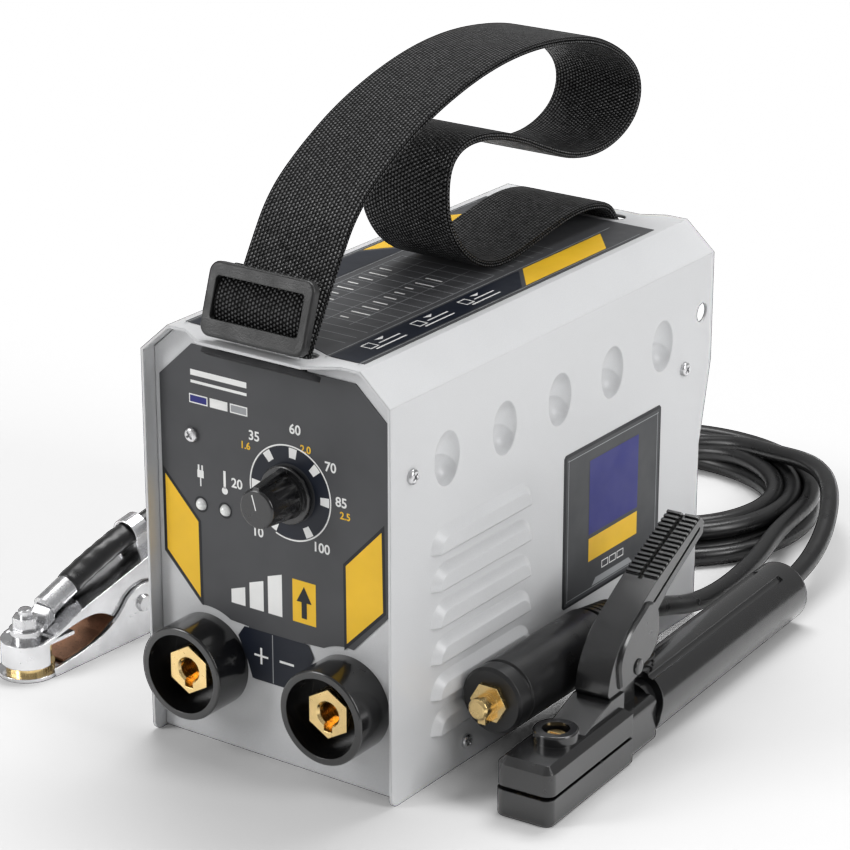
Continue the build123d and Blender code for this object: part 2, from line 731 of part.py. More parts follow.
finish(carry_strap, "carry_strap")

# T-bars sewn into both ends, wider than the slots
with BuildPart() as strap_anchors:
    with BuildSketch(Plane(origin=strap_wire @ 0, x_dir=(1, 0, 0), z_dir=strap_wire % 0)):
        RectangleRounded(54, 6.4, 1)
    extrude(amount=-2)
    with BuildSketch(Plane(origin=strap_wire @ 1, x_dir=(1, 0, 0), z_dir=strap_wire % 1)):
        RectangleRounded(54, 6.4, 1)
    extrude(amount=2)
finish(strap_anchors, "strap_anchors")

buckle_tilt = 18.5
buckle_w, buckle_h, buckle_t = 50.0, 29.0, 3.6
# local x across, local y up the buckle, normal towards the front
lean = math.radians(buckle_tilt)
buckle_plane = Plane(
    origin=(0, front_y - 1.1, 193.4), x_dir=(1, 0, 0), z_dir=(0, -math.cos(lean), math.sin(lean))
)
window_low, window_high = -7.6, 9.2
with BuildPart() as strap_buckle:
    with BuildSketch(buckle_plane.offset(-buckle_t / 2)):
        RectangleRounded(buckle_w, buckle_h, 4.5)
        with Locations((0, (window_low + window_high) / 2)):
            RectangleRounded(strap_w, window_high - window_low, 1.5, mode=Mode.SUBTRACT)
    extrude(amount=buckle_t)
    fillet(strap_buckle.faces().sort_by(plane_axis(buckle_plane))[-1].outer_wire().edges(), radius=1.1)
finish(strap_buckle, "strap_buckle")

tail_t = 2.4
tail_back = -buckle_t / 2 - tail_t / 2 - 0.05
with BuildPart() as strap_tail:
    with BuildLine(Plane(origin=buckle_plane.origin, x_dir=buckle_plane.y_dir, z_dir=(1, 0, 0))) as tail_route:
        # along the buckle, then behind it
        FilletPolyline((-13.6, tail_back), (9, tail_back), (13.6, tail_back - 5.6), radius=3)
    tail_wire = tail_route.wires()[0]
    with BuildSketch(Plane(origin=tail_wire @ 0, x_dir=(1, 0, 0), z_dir=tail_wire % 0)):
        Rectangle(strap_w - 1, tail_t)
    sweep(path=tail_wire)
print("tail", [tuple(round(v, 1) for v in tail_wire @ u) for u in (0, 1)])
finish(strap_tail, "strap_tail")

# ---- electrode holder ---------------------------------------------------------------------
turn = math.radians(3.3)
holder = Plane(origin=(107.1, front_y + 20, 0), x_dir=(math.cos(turn), math.sin(turn), 0), z_dir=(0, 0, 1))
jaw_w, jaw_long, jaw_low, jaw_gap, jaw_high = 25.0, 66.0, 11.5, 1.5, 25.0
arm_w, arm_t = 11.4, 3.7
pivot_y, pivot_z, pivot_r = 76.0, 38.0, 2.5
handle_r, handle_z, handle_y0, handle_y1 = 13.5, 13.5, 88.0, 225.0
upper_z = jaw_low + jaw_gap

with BuildPart(holder) as holder_lower_jaw:
    with Locations((0, jaw_long / 2, jaw_low / 2)):
        Box(jaw_w, jaw_long, jaw_low)
    nose = holder_lower_jaw.edges().filter_by(Axis.Z).sort_by(Axis.Y)[:2]
    fillet(nose, radius=4)
    fillet(holder_lower_jaw.faces().sort_by(Axis.Z)[0].edges(), radius=1.6)
    with Locations((0, 3 + jaw_long, jaw_low)):
        Box(arm_w + 0.2, 2 * jaw_long, 2 * (arm_t + 0.1), mode=Mode.SUBTRACT)
finish(holder_lower_jaw, "holder_lower_jaw")

with BuildPart(holder) as holder_lower_arm:
    with Locations((0, (3.4 + 100) / 2, jaw_low - arm_t / 2)):
        Box(arm_w, 100 - 3.4, arm_t)
    # grooves that grip the rod across the jaw
    with BuildSketch(local_side(holder, 0)):
        with Locations(*[(groove_y, jaw_low + 0.4) for groove_y in (10, 22, 34)]):
            Circle(2.0)
    extrude(amount=jaw_w, both=True, mode=Mode.SUBTRACT)
finish(holder_lower_arm, "holder_lower_arm")

ear_w = 8.0
pad_w, cheek_w = 15.0, 18.0
with BuildPart(holder) as holder_body:
    with Locations((0, (jaw_long + 87.6) / 2, 11)):
        Box(23, 87.6 - jaw_long, 20)
    fillet(holder_body.edges().filter_by(Axis((0, 0, 0), tuple(holder.y_dir))), radius=3)
    with BuildSketch(local_front(holder, 87.6)):
        with Locations((0, handle_z)):
            Circle(handle_r - 3.2)
    extrude(amount=24)
    with BuildSketch(local_side(holder, 0)):
        Polygon((69, 15), (83, 15), (82, pivot_z), (70, pivot_z), align=None)
        with Locations((pivot_y, pivot_z)):
            Circle(6)
            Circle(pivot_r, mode=Mode.SUBTRACT)
    extrude(amount=ear_w / 2, both=True)
    with Locations((0, 90, jaw_low - arm_t / 2)):
        Box(arm_w + 0.2, 80, arm_t + 0.1, mode=Mode.SUBTRACT)
    with BuildSketch(local_front(holder, 96)):
        with Locations((0, handle_z)):
            Circle(cable_r + 0.3)
    extrude(amount=40, mode=Mode.SUBTRACT)
finish(holder_body, "holder_body")

with BuildPart(holder) as holder_handle:
    with BuildSketch(local_front(holder, handle_y0)):
        with Locations((0, handle_z)):
            Circle(handle_r)
    extrude(amount=handle_y1 - handle_y0)
    fillet(holder_handle.edges().filter_by(GeomType.CIRCLE).sort_by(Axis.Y)[-1], radius=1.5)
    # two shallow grooves leave a raised rib along the top and one on each side
    with BuildSketch(local_front(holder, handle_y0 - 1)):
        with Locations((0, handle_z)):
            with PolarLocations(handle_r + 1.3, 1, start_angle=90 - 26):
                Circle(2.2)
            with PolarLocations(handle_r + 1.3, 1, start_angle=90 + 26):
                Circle(2.2)
    extrude(amount=handle_y1 - handle_y0 - 12, mode=Mode.SUBTRACT)
    with BuildSketch(local_front(holder, handle_y0 - 1)):
        with Locations((0, handle_z)):
            Circle(handle_r - 3.1)
    extrude(amount=handle_y1 - handle_y0 - 9, mode=Mode.SUBTRACT)
    with BuildSketch(local_front(holder, handle_y0)):
        with Locations((0, handle_z)):
            Circle(cable_r + 0.3)
    extrude(amount=handle_y1 - handle_y0 + 5, mode=Mode.SUBTRACT)
    # the front rim sweeps back in an arc on top
    with BuildSketch(local_side(holder, 0)):
        with Locations((handle_y0 - 22, 2 * handle_z + 3)):
            Circle(28)
    extrude(amount=40, both=True, mode=Mode.SUBTRACT)
finish(holder_handle, "holder_handle")

with BuildPart() as holder_pivot_pin:
    with BuildSketch(local_side(holder, 0)):
        with Locations((pivot_y, pivot_z)):
            Circle(pivot_r)
    extrude(amount=cheek_w / 2 + 0.3, both=True)
finish(holder_pivot_pin, "holder_pivot_pin")

spring_y = 99.0
helix_spring(
    Plane(origin=holder.from_local_coords((0, spring_y, 28.2)), x_dir=holder.x_dir, z_dir=(0, 0, 1)),
    3.4, 24.2, 3.4, 1.2, "holder_spring"
)

boss_y = 26.0
with BuildPart(holder) as holder_upper_jaw:
    with Locations((0, (0.6 + jaw_long) / 2, (upper_z + jaw_high) / 2)):
        Box(jaw_w, jaw_long - 0.6, jaw_high - upper_z)
    nose = holder_upper_jaw.edges().filter_by(Axis.Z).sort_by(Axis.Y)[:2]
    fillet(nose, radius=4)
    chamfer(holder_upper_jaw.faces().sort_by(Axis.Z)[-1].edges(), length=2.8)
    with BuildSketch(local_side(holder, 0)):
        Polygon((34, jaw_high - 2), (34, jaw_high), (55, 31), (65.6, 31), (65.6, jaw_high - 2), align=None)
    extrude(amount=8.5, both=True)
    with Locations((0, boss_y, jaw_high)):
        Cylinder(9, 9, align=(Align.CENTER, Align.CENTER, Align.CENTER))
    fillet(holder_upper_jaw.edges().filter_by(GeomType.CIRCLE).sort_by(Axis.Z)[-1], radius=0.8)
    with Locations((0, boss_y, jaw_high + 4.5)):
        Cylinder(5.5, 5, align=(Align.CENTER, Align.CENTER, Align.MAX), mode=Mode.SUBTRACT)
        Cylinder(2.0, 20, align=(Align.CENTER, Align.CENTER, Align.MAX), mode=Mode.SUBTRACT)
    with Locations((0, 3 + jaw_long, upper_z)):
        Box(arm_w + 0.2, 2 * jaw_long, 2 * (arm_t + 0.1), mode=Mode.SUBTRACT)
finish(holder_upper_jaw, "holder_upper_jaw")

with BuildPart(holder) as holder_upper_arm:
    with Locations((0, (3.4 + 65) / 2, upper_z + arm_t / 2)):
        Box(arm_w, 65 - 3.4, arm_t)
    with BuildSketch(local_side(holder, 0)):
        with Locations(*[(groove_y, upper_z - 0.4) for groove_y in (10, 22, 34)]):
            Circle(2.0)
    extrude(amount=jaw_w, both=True, mode=Mode.SUBTRACT)
    # its fixing screw stands up into the boss
    with Locations((0, boss_y, upper_z + arm_t)):
        Cylinder(1.9, 9.8, align=(Align.CENTER, Align.CENTER, Align.MIN))
    with Locations((0, boss_y, jaw_high - 0.5)):
        Cylinder(3.6, 2.6, align=(Align.CENTER, Align.CENTER, Align.MIN))
    with Locations((0, boss_y, jaw_high + 2.1)):
        Box(5.2, 1.0, 1.8, mode=Mode.SUBTRACT)
finish(holder_upper_arm, "holder_upper_arm")

with BuildPart() as holder_lever:
    with BuildSketch(local_side(holder, 0)):
        with BuildLine():
            Polyline((66, 31), (55.6, 31), (54, 33.5))
            Spline((54, 33.5), (60, 48), (75, 59.5), (92, 68.3), tangents=[(0.12, 1), (0.9, 0.42)])
            Polyline((92, 68.3), (130, 83), (133, 80), (132, 75.5), (104, 62), (92, 54), (84, 46), (80, 33), (66, 31))
        make_face()
    extrude(amount=pad_w / 2, both=True)
    # finger ribs in two columns
    with BuildSketch(local_side(holder, 0)):
        for step in range(15):
            rib_y = 94.5 + 2.45 * step
            with Locations(Location((rib_y, 69.3 + 14.7 / 38 * (rib_y - 94.5)), 21.1)):
                Rectangle(1.25, 2.0)
    extrude(amount=pad_w / 2 - 0.2, both=True)
    with BuildSketch(local_side(holder, 0)):
        Polygon((92, 66.4), (135, 83.0), (135, 88), (92, 72), align=None)
    extrude(amount=0.9, both=True, mode=Mode.SUBTRACT)
    # long groove in both sides of the pad
    for side in (-1, 1):
        with BuildSketch(local_side(holder, side * (pad_w / 2 - 0.7))):
            with Locations(Location((106, 67.4), 25.4)):
                SlotOverall(52, 1.5)
        extrude(amount=side * 2, mode=Mode.SUBTRACT)
    # cheeks around the pivot
    with BuildSketch(local_side(holder, 0)):
        with BuildLine():
            Polyline((62.5, 33.2), (61, 42))
            Spline((61, 42), (68, 54), (84, 62.5), tangents=[(0.1, 1), (0.85, 0.5)])
            Spline((84, 62.5), (93, 56), (93.5, 46), (86, 37.5), tangents=[(0.9, -0.1), (-0.9, -0.6)])
            Line((86, 37.5), (62.5, 33.2))
        make_face()
    extrude(amount=cheek_w / 2, both=True)
    cheek_faces = holder_lever.faces().filter_by(GeomType.PLANE).sort_by(plane_axis(local_side(holder, 0)))
    chamfer(cheek_faces[-1].edges() + cheek_faces[0].edges(), length=0.9)
    # room for the ear, over the whole travel
    with BuildSketch(local_side(holder, 0)):
        with Locations((pivot_y, pivot_z)):
            Circle(6.5)
        Polygon((69.4, pivot_z), (66.0, 25), (88.0, 25), (82.6, pivot_z), align=None)
    extrude(amount=ear_w / 2 + 0.3, both=True, mode=Mode.SUBTRACT)
    with BuildSketch(local_side(holder, 0)):
        with Locations((pivot_y, pivot_z)):
            Circle(pivot_r + 0.05)
    extrude(amount=20, both=True, mode=Mode.SUBTRACT)
finish(holder_lever, "holder_lever")

# ---- earth clamp --------------------------------------------------------------------------
clamp_turn = math.radians(-3.4)
clamp = Plane(
    origin=(-140.5, front_y, 0), x_dir=(math.cos(clamp_turn), math.sin(clamp_turn), 0), z_dir=(0, 0, 1)
)
sheet_t = 1.6
wall_out, wall_in = 13.5, 11.5
rivet_y, rivet_z, rivet_r = 70.0, 15.4, 2.5
tip_y, tip_gap = 13.0, 14.0
bolt_y, lug_z = 12.5, 18.0
rim_low, leaf_top = 5.0, 4.4

with BuildPart(clamp) as clamp_lower_jaw:
    with BuildSketch(clamp):
        with Locations((0, tip_y)):
            Circle(13)
        with Locations((0, (tip_y + 141) / 2)):
            Rectangle(2 * wall_out - 2, 141 - tip_y)
    extrude(amount=sheet_t)
    with BuildSketch(local_side(clamp, -wall_out)):
        with BuildLine():
            Polyline((142, 5), (140, 0), (16, 0), (15, 3.6))
            Spline((15, 3.6), (36, 6.6), (52, 12.6), (60, 20), tangents=[(1, 0.1), (0.6, 0.8)])
            ThreePointArc((60, 20), (70, 24.2), (84, 20))
            Polyline((84, 20), (140, 10.5), (142, 5))
        make_face()
    extrude(amount=2 * wall_out)
    with Locations((0, 80, 20 + sheet_t)):
        Box(2 * wall_out - 2 * 1.5, 300, 40, mode=Mode.SUBTRACT)
    with BuildSketch(local_side(clamp, 0)):
        with Locations((rivet_y, rivet_z)):
            Circle(rivet_r)
    extrude(amount=20, both=True, mode=Mode.SUBTRACT)
finish(clamp_lower_jaw, "clamp_lower_jaw")

with BuildPart(clamp) as clamp_upper_jaw:
    with BuildSketch(clamp.offset(tip_gap)):
        with Locations((0, tip_y)):
            Circle(11.5)
        with Locations((0, (tip_y + 30) / 2)):
            Rectangle(2 * wall_in - 1, 30 - tip_y)
    extrude(amount=sheet_t)
    # turned-down rim round the front of the tip
    with BuildSketch(clamp.offset(rim_low)):
        with Locations((0, tip_y)):
            Circle(11.5)
            Circle(11.5 - sheet_t, mode=Mode.SUBTRACT)
        with Locations((0, tip_y + 20)):
            Rectangle(40, 36, mode=Mode.SUBTRACT)
    extrude(amount=tip_gap - rim_low)
    with BuildSketch(local_side(clamp, -wall_in)):
        with BuildLine():
            Polyline((142, 40), (142, 52), (100, 41), (74, 34), (34, 23.5), (18, 17), (10, 15.6), (13, 14))
            Spline((13, 14), (30, 18.6), (46, 18.2), (56, 12), (62, 7.4), tangents=[(1, 0.5), (0.8, -0.6)])
            ThreePointArc((62, 7.4), (70, 5.6), (78, 8))
            Line((78, 8), (142, 40))
        make_face()
    extrude(amount=2 * wall_in)
    # hollow between the two side walls and under the top web
    with BuildSketch(local_side(clamp, 0)):
        Polygon(
            (30, 0), (30, 20.4), (74, 32.4), (100, 39.4), (143, 50.6), (143, 0), align=None
        )
        Polygon((-1, tip_gap + sheet_t), (-1, 40), (19, 40), (19, tip_gap + sheet_t), align=None)
        Polygon((9, 0), (9, tip_gap), (31, tip_gap), (31, 0), align=None)
        Polygon((8, tip_gap + sheet_t), (31, tip_gap + sheet_t), (31, 20.6), (19, 15.8), align=None)
    extrude(amount=wall_in - 1.5, both=True, mode=Mode.SUBTRACT)
    # running fit on the rivet
    with BuildSketch(local_side(clamp, 0)):
        with Locations((rivet_y, rivet_z)):
            Circle(rivet_r + 0.06)
    extrude(amount=20, both=True, mode=Mode.SUBTRACT)
    with Locations((0, bolt_y, tip_gap)):
        Cylinder(3.05, 12, mode=Mode.SUBTRACT)
finish(clamp_upper_jaw, "clamp_upper_jaw")

with BuildPart() as clamp_pivot_rivet:
    with BuildSketch(local_side(clamp, 0)):
        with Locations((rivet_y, rivet_z)):
            Circle(rivet_r)
    extrude(amount=wall_out + 1, both=True)
    for side in (-1, 1):
        with BuildSketch(local_side(clamp, side * (wall_out + 0.02))):
            with Locations((rivet_y, rivet_z)):
                Circle(4)
        extrude(amount=side * 1.6, taper=20)
finish(clamp_pivot_rivet, "clamp_pivot_rivet")

helix_spring(
    Plane(
        origin=clamp.from_local_coords((-6, rivet_y, rivet_z)), x_dir=clamp.y_dir, z_dir=clamp.x_dir
    ),
    2.4, 12, 5.4, 1.8, "clamp_spring"
)

with BuildPart(clamp) as clamp_lower_contact:
    with BuildSketch(clamp.offset(sheet_t)):
        with Locations((0, 14)):
            RectangleRounded(19, 20, 8)
    extrude(amount=leaf_top - sheet_t)
    with BuildSketch(local_side(clamp, 0)):
        with Locations((14, leaf_top + 1.0)):
            Circle(2.0)
    extrude(amount=20, both=True, mode=Mode.SUBTRACT)
finish(clamp_lower_contact, "clamp_lower_contact")

with BuildPart(clamp) as clamp_upper_contact:
    with Locations((0, 14, (rim_low + 0.6 + tip_gap) / 2)):
        Box(13, 13, tip_gap - rim_low - 0.6)
    with BuildSketch(local_side(clamp, 0)):
        with Locations((14, rim_low - 0.6)):
            Circle(2.0)
    extrude(amount=20, both=True, mode=Mode.SUBTRACT)
finish(clamp_upper_contact, "clamp_upper_contact")

with BuildPart(clamp) as clamp_bolt:
    with Locations((0, bolt_y, tip_gap + 0.02)):
        Cylinder(3.0, 12, align=(Align.CENTER, Align.CENTER, Align.MIN))
    with Locations((0, bolt_y, tip_gap + sheet_t)):
        Cylinder(6.2, lug_z - tip_gap - sheet_t, align=(Align.CENTER, Align.CENTER, Align.MIN))
    with BuildSketch(clamp.offset(lug_z + 2.32)):
        with Locations((0, bolt_y)):
            RegularPolygon(5.8, 6)
    extrude(amount=5.2)
    with Locations((0, bolt_y, lug_z + 7.5)):
        Cylinder(3.0, 3.4, align=(Align.CENTER, Align.CENTER, Align.MIN))
    chamfer(clamp_bolt.edges().filter_by(GeomType.CIRCLE).sort_by(Axis.Z)[-1], length=0.6)
finish(clamp_bolt, "clamp_bolt")

lead_exit_y, lead_exit_z = 38.0, 31.0
with BuildPart(clamp) as clamp_lug:
    with BuildSketch(clamp.offset(lug_z)):
        with Locations((0, bolt_y)):
            Circle(7.2)
        with Locations((0, bolt_y + 3.5)):
            Rectangle(10, 8)
        with Locations((0, bolt_y)):
            Circle(3.1, mode=Mode.SUBTRACT)
    extrude(amount=2.3)
    barrel_start = clamp.from_local_coords((0, 23.4, 25.6))
    barrel_end = clamp.from_local_coords((0, lead_exit_y, lead_exit_z))
    barrel = Plane(origin=barrel_start, x_dir=clamp.x_dir, z_dir=barrel_end - barrel_start)
    with BuildSketch(barrel):
        Circle(5.2)
    extrude(amount=(barrel_end - barrel_start).length)
    with BuildSketch(local_side(clamp, 0)):
        Polygon((17, 18.0), (20, 18.0), (24.5, 20.3), (25.5, 24), (22.5, 26.5), (18.7, 20.3), align=None)
    extrude(amount=4.6, both=True)
finish(clamp_lug, "clamp_lug")

# ---- plugs --------------------------------------------------------------------------------
earth_plug = Plane(origin=(77.0, front_y + 43, 34.0), x_dir=(-1, 0, 0), z_dir=(0, 1, 0))
electrode_plug = Plane(origin=(-84, front_y + 145, plug_r + 0.05), x_dir=(-1, 0, 0), z_dir=(0, 1, 0))
smooth_len, rib_len = 69.0, 21.0


def plug(plane, lead_name):
    """A rubber-sleeved cable plug that starts on the given plane, with its brass pin in front of it."""
    with BuildPart() as sleeve:
        with BuildSketch(Plane(origin=plane.origin, x_dir=plane.x_dir, z_dir=plane.y_dir)):
            with BuildLine():
                full, waist = plug_r, plug_r - 0.9
                Polyline(
                    (5.0, 0), (full - 1.2, 0), (full, -1.2), (full, -7.4), (waist, -7.9), (waist, -9.2),
                    (full, -9.7), (full, -smooth_len), (11.6, -smooth_len - 3)
                )
                Polyline(
                    (11.6, -smooth_len - 3), (10.0, -smooth_len - rib_len), (cable_r + 0.3, -smooth_len - rib_len),
                    (cable_r + 0.3, -34), (5.0, -34), (5.0, 0)
                )
            make_face()
        revolve(axis=Axis(plane.origin, plane.z_dir))
        for rib in range(5):
            with BuildSketch(plane.offset(smooth_len + 3.6 + 3.6 * rib)):
                Circle(13.0 - 0.45 * rib)
                Circle(9.0, mode=Mode.SUBTRACT)
            extrude(amount=1.9)
    finish(sleeve, lead_name + "_plug_sleeve")
    with BuildPart() as pin:
        with BuildSketch(plane.offset(-10)):
            Circle(4.5)
        extrude(amount=44)
        chamfer(pin.edges().filter_by(GeomType.CIRCLE).sort_by(Axis.Y)[0], length=1)
        with BuildSketch(plane.offset(-2.2)):
            RegularPolygon(8.4, 6)
        extrude(amount=2.18)
        with BuildSketch(plane.offset(-6.5)):
            with Locations((0, -5)):
                Rectangle(3.6, 4.6)
        extrude(amount=4.4)
    finish(pin, lead_name + "_plug_pin")


plug(earth_plug, "earth")
plug(electrode_plug, "electrode")

# ---- leads --------------------------------------------------------------------------------


def behind(route):
    """A route whose y counts from the case's front edge, moved into the part's frame."""
    return [(x, front_y + y, z) for x, y, z in route]


def on_clamp(route):
    """A route in the clamp's own frame, moved into the part's frame."""
    return [tuple(clamp.from_local_coords(p)) for p in route]


clip_y, clip_z = 84.0, 44.5
lead(on_clamp([(0, lead_exit_y, lead_exit_z), (0, 52, 37.0), (0, 68, 41.4), (0, clip_y, clip_z)]), "clamp_lead_end")
lead(
    on_clamp([(0, clip_y + 0.5, clip_z + 0.1), (0, clip_y + 14.5, clip_z + 2.8)]) + behind([
        (-133.2, 118, 54), (-131.2, 146, 61), (-128, 176, 56), (-122.5, 206, 36), (-115, 236, 15.5),
        (-104, 268, 5.2), (-93, 298, 4.25), (-86.8, 315, 4.25)
    ]),
    "earth_lead_clamp_run"
)
lead(
    behind([
        (77, 123, 34), (77, 147, 34), (74.5, 176, 26), (71.4, 205, 15), (70, 235, 10.4),
        (67, 270, 11.5), (60, 300, 12.6), (57.6, 316, 12.75)
    ]),
    "earth_lead_plug_run"
)
handle_end = holder.from_local_coords((0, handle_y1 - 12, handle_z))
handle_out = holder.from_local_coords((0, handle_y1 + 18, handle_z))
lead(
    [tuple(handle_end), tuple(handle_out)] + behind([
        (88, 294, 19), (77, 322, 26), (62, 345, 27.5), (43, 362, 25), (20, 372.5, 20.5), (-4, 381, 17.5)
    ]),
    "electrode_lead_holder_run"
)
lead(
    behind([(-66, 352, 17.5), (-77, 318, 24), (-82, 292, 26), (-84, 266, 20), (-84, 240, 14.3), (-84, 222, 14.05)]),
    "electrode_lead_plug_run"
)


def coil(inner, outer, name):
    """The closed outer shape of a lead's flat coil, two layers high."""
    with BuildPart() as ring:
        with BuildSketch(Plane.XY):
            with Locations((coil_x, coil_y)):
                Circle(outer)
                Circle(inner, mode=Mode.SUBTRACT)
        extrude(amount=2 * cable_d)
    finish(ring, name)


coil(turn_r_in - cable_d - 0.05, turn_r_in + cable_d + 0.05, "electrode_lead_coil")
coil(turn_r_out - cable_r - 0.2, turn_r_out + cable_r, "earth_lead_coil")
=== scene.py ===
"""The stick welder's looks: finishes for the CAD parts, films, woven strap, leads, light and camera."""
import json
import math

import bpy
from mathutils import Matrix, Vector


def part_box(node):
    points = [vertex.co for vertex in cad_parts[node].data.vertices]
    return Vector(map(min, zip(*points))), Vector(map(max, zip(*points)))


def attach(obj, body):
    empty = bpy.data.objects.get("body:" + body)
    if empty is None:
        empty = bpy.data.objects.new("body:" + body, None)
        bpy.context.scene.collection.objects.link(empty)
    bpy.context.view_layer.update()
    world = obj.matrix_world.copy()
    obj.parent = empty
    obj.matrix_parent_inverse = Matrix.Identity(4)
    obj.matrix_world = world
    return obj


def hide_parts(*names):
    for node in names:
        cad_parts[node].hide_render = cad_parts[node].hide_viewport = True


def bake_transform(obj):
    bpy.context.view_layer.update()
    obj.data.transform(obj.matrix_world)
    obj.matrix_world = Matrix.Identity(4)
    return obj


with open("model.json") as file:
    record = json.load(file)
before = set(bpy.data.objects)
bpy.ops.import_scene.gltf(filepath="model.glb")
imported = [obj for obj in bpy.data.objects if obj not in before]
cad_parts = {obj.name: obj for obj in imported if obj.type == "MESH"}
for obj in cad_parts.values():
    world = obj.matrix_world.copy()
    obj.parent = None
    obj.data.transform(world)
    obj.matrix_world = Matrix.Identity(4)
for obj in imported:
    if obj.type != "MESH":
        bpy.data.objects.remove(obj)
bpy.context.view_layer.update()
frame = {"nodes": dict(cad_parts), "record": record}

MM = 0.001
nodes = frame["nodes"]
front_y = -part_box("cover")[1].y / MM  # the case reaches as far forward as back


# ---- node graphs --------------------------------------------------------------------------
class Graph:
    """A short way to wire one material's nodes."""

    def __init__(self, name):
        self.material = bpy.data.materials.new(name)
        self.material.use_nodes = True
        self.tree = self.material.node_tree
        self.shader = self.tree.nodes["Principled BSDF"]

    def add(self, kind, inputs=None, **settings):
        node = self.tree.nodes.new(kind)
        for key, value in settings.items():
            setattr(node, key, value)
        for key, value in (inputs or {}).items():
            self.feed(node.inputs[key], value)
        return node

    def feed(self, socket, value):
        if isinstance(value, bpy.types.NodeSocket):
            self.tree.links.new(value, socket)
        else:
            socket.default_value = value

    def maths(self, operation, a, b=0.0, c=0.0):
        return self.add("ShaderNodeMath", {0: a, 1: b, 2: c}, operation=operation).outputs[0]

    def spread(self, value, low, high, to_low=0.0, to_high=1.0):
        inputs = {"Value": value, "From Min": low, "From Max": high, "To Min": to_low, "To Max": to_high}
        return self.add("ShaderNodeMapRange", inputs).outputs["Result"]

    def noise(self, place, scale, detail=2.0, stretch=None):
        if stretch:
            place = self.add("ShaderNodeMapping", {"Vector": place, "Scale": stretch}).outputs[0]
        inputs = {"Vector": place, "Scale": scale, "Detail": detail}
        return self.add("ShaderNodeTexNoise", inputs).outputs["Fac"]

    def blend(self, share, a, b):
        node = self.add("ShaderNodeMix", data_type="RGBA")
        self.feed(node.inputs["Factor"], share)
        self.feed(node.inputs[6], a)
        self.feed(node.inputs[7], b)
        return node.outputs[2]

    def place(self):
        return self.add("ShaderNodeTexCoord").outputs["Object"]

    def bump(self, strength, depth, height, normal=None):
        """Relief of that many millimetres, over a normal where one is given."""
        inputs = {"Strength": strength, "Distance": depth * MM, "Height": height}
        if normal is not None:
            inputs["Normal"] = normal
        self.feed(self.shader.inputs["Normal"], self.add("ShaderNodeBump", inputs).outputs[0])


def shade(colour, by):
    """The colour as RGBA, lighter or darker by a share."""
    return tuple(min(1.0, channel * by) for channel in colour) + (1.0,)


def soft_edges(graph, radius):
    """A normal that rounds the solid's edges by that many millimetres."""
    return graph.add("ShaderNodeBevel", {"Radius": radius * MM}, samples=4).outputs["Normal"]


def edge_highlight_mask(graph, rounded):
    """1 along the edges, broken up by noise, and 0 on the flats: the mask for a painted edge highlight."""
    # where the rounded normal turns from the flat one, the colour gets a painted highlight
    flat = graph.add("ShaderNodeNewGeometry").outputs["Normal"]
    turned = graph.add("ShaderNodeVectorMath", {0: rounded, 1: flat}, operation="DOT_PRODUCT")
    edge = graph.spread(turned.outputs["Value"], 0.995, 0.93)
    patchy = graph.spread(graph.noise(graph.place(), 160, 3), 0.42, 0.6)
    return graph.maths("MULTIPLY", edge, patchy)


def moulded(name, colour, rough, grain=1500, relief=0.15, coat=0.0, edge=0.4, shine=0.5):
    """Plastic or rubber: mottled colour, moulding grain and a painted highlight along the edges."""
    mottle, edge_highlight_gain = 0.1, 1.6
    g = Graph(name)
    where = g.place()
    rounded = soft_edges(g, edge)
    cloud = g.spread(g.noise(where, 38, 3), 0.35, 0.65)
    base = g.blend(cloud, shade(colour, 1 - mottle), shade(colour, 1 + mottle))
    # paler colour along the edges: a painted highlight, not wear
    painted_edge_highlight = g.maths("MULTIPLY", edge_highlight_mask(g, rounded), 0.6)
    g.feed(g.shader.inputs["Base Color"], g.blend(painted_edge_highlight, base, shade(colour, edge_highlight_gain)))
    smudge = g.noise(where, 120, 4)
    g.feed(g.shader.inputs["Roughness"], g.spread(smudge, 0.3, 0.7, rough * 0.8, min(1.0, rough * 1.25)))
    pitted = g.noise(where, grain, 2)
    g.bump(relief, 0.2, pitted, rounded)
    g.shader.inputs["Specular IOR Level"].default_value = shine
    g.shader.inputs["Coat Weight"].default_value = coat
    g.shader.inputs["Coat Roughness"].default_value = 0.12
    return g.material


def plated(name, colour, rough, stretch=(1, 1, 1), scale=260, relief=0.06, edge=0.3, tarnish=0.85):
    """Bare or plated metal: brush marks along one axis, uneven sheen and a painted highlight along the edges.
    """
    g = Graph(name)
    where = g.place()
    rounded = soft_edges(g, edge)
    brushed = g.noise(where, scale, 4, stretch)
    cloud = g.spread(g.noise(where, 70, 3), 0.35, 0.65)
    base = g.blend(cloud, shade(colour, tarnish), shade(colour, 1.05))
    # brighter colour along the edges: a painted highlight
    g.feed(g.shader.inputs["Base Color"], g.blend(edge_highlight_mask(g, rounded), base, shade(colour, 1.25)))
    g.shader.inputs["Metallic"].default_value = 1.0
    g.feed(g.shader.inputs["Roughness"], g.spread(brushed, 0.3, 0.7, rough * 0.7, rough * 1.4))
    g.bump(relief, 0.2, brushed, rounded)
    return g.material


def powder_coat(name, colour):
    """Satin powder paint: a fine orange peel, and faint handling marks."""
    g = Graph(name)
    where = g.place()
    rounded = soft_edges(g, 0.9)
    cloud = g.spread(g.noise(where, 14, 3), 0.3, 0.7)
    speckle = g.spread(g.noise(where, 2600, 1), 0.35, 0.65, 0.975, 1.02)
    tone = g.blend(cloud, shade(colour, 0.97), shade(colour, 1.02))
    spotted = g.add("ShaderNodeVectorMath", {0: tone, "Scale": speckle}, operation="SCALE").outputs[0]
    g.feed(g.shader.inputs["Base Color"], spotted)
    marks = g.noise(where, 55, 5)
    g.feed(g.shader.inputs["Roughness"], g.spread(marks, 0.3, 0.7, 0.36, 0.5))
    g.shader.inputs["Coat Weight"].default_value = 0.3
    g.shader.inputs["Coat Roughness"].default_value = 0.16
    peel = g.noise(where, 1100, 2)
    g.bump(0.1, 0.15, peel, rounded)
    return g.material


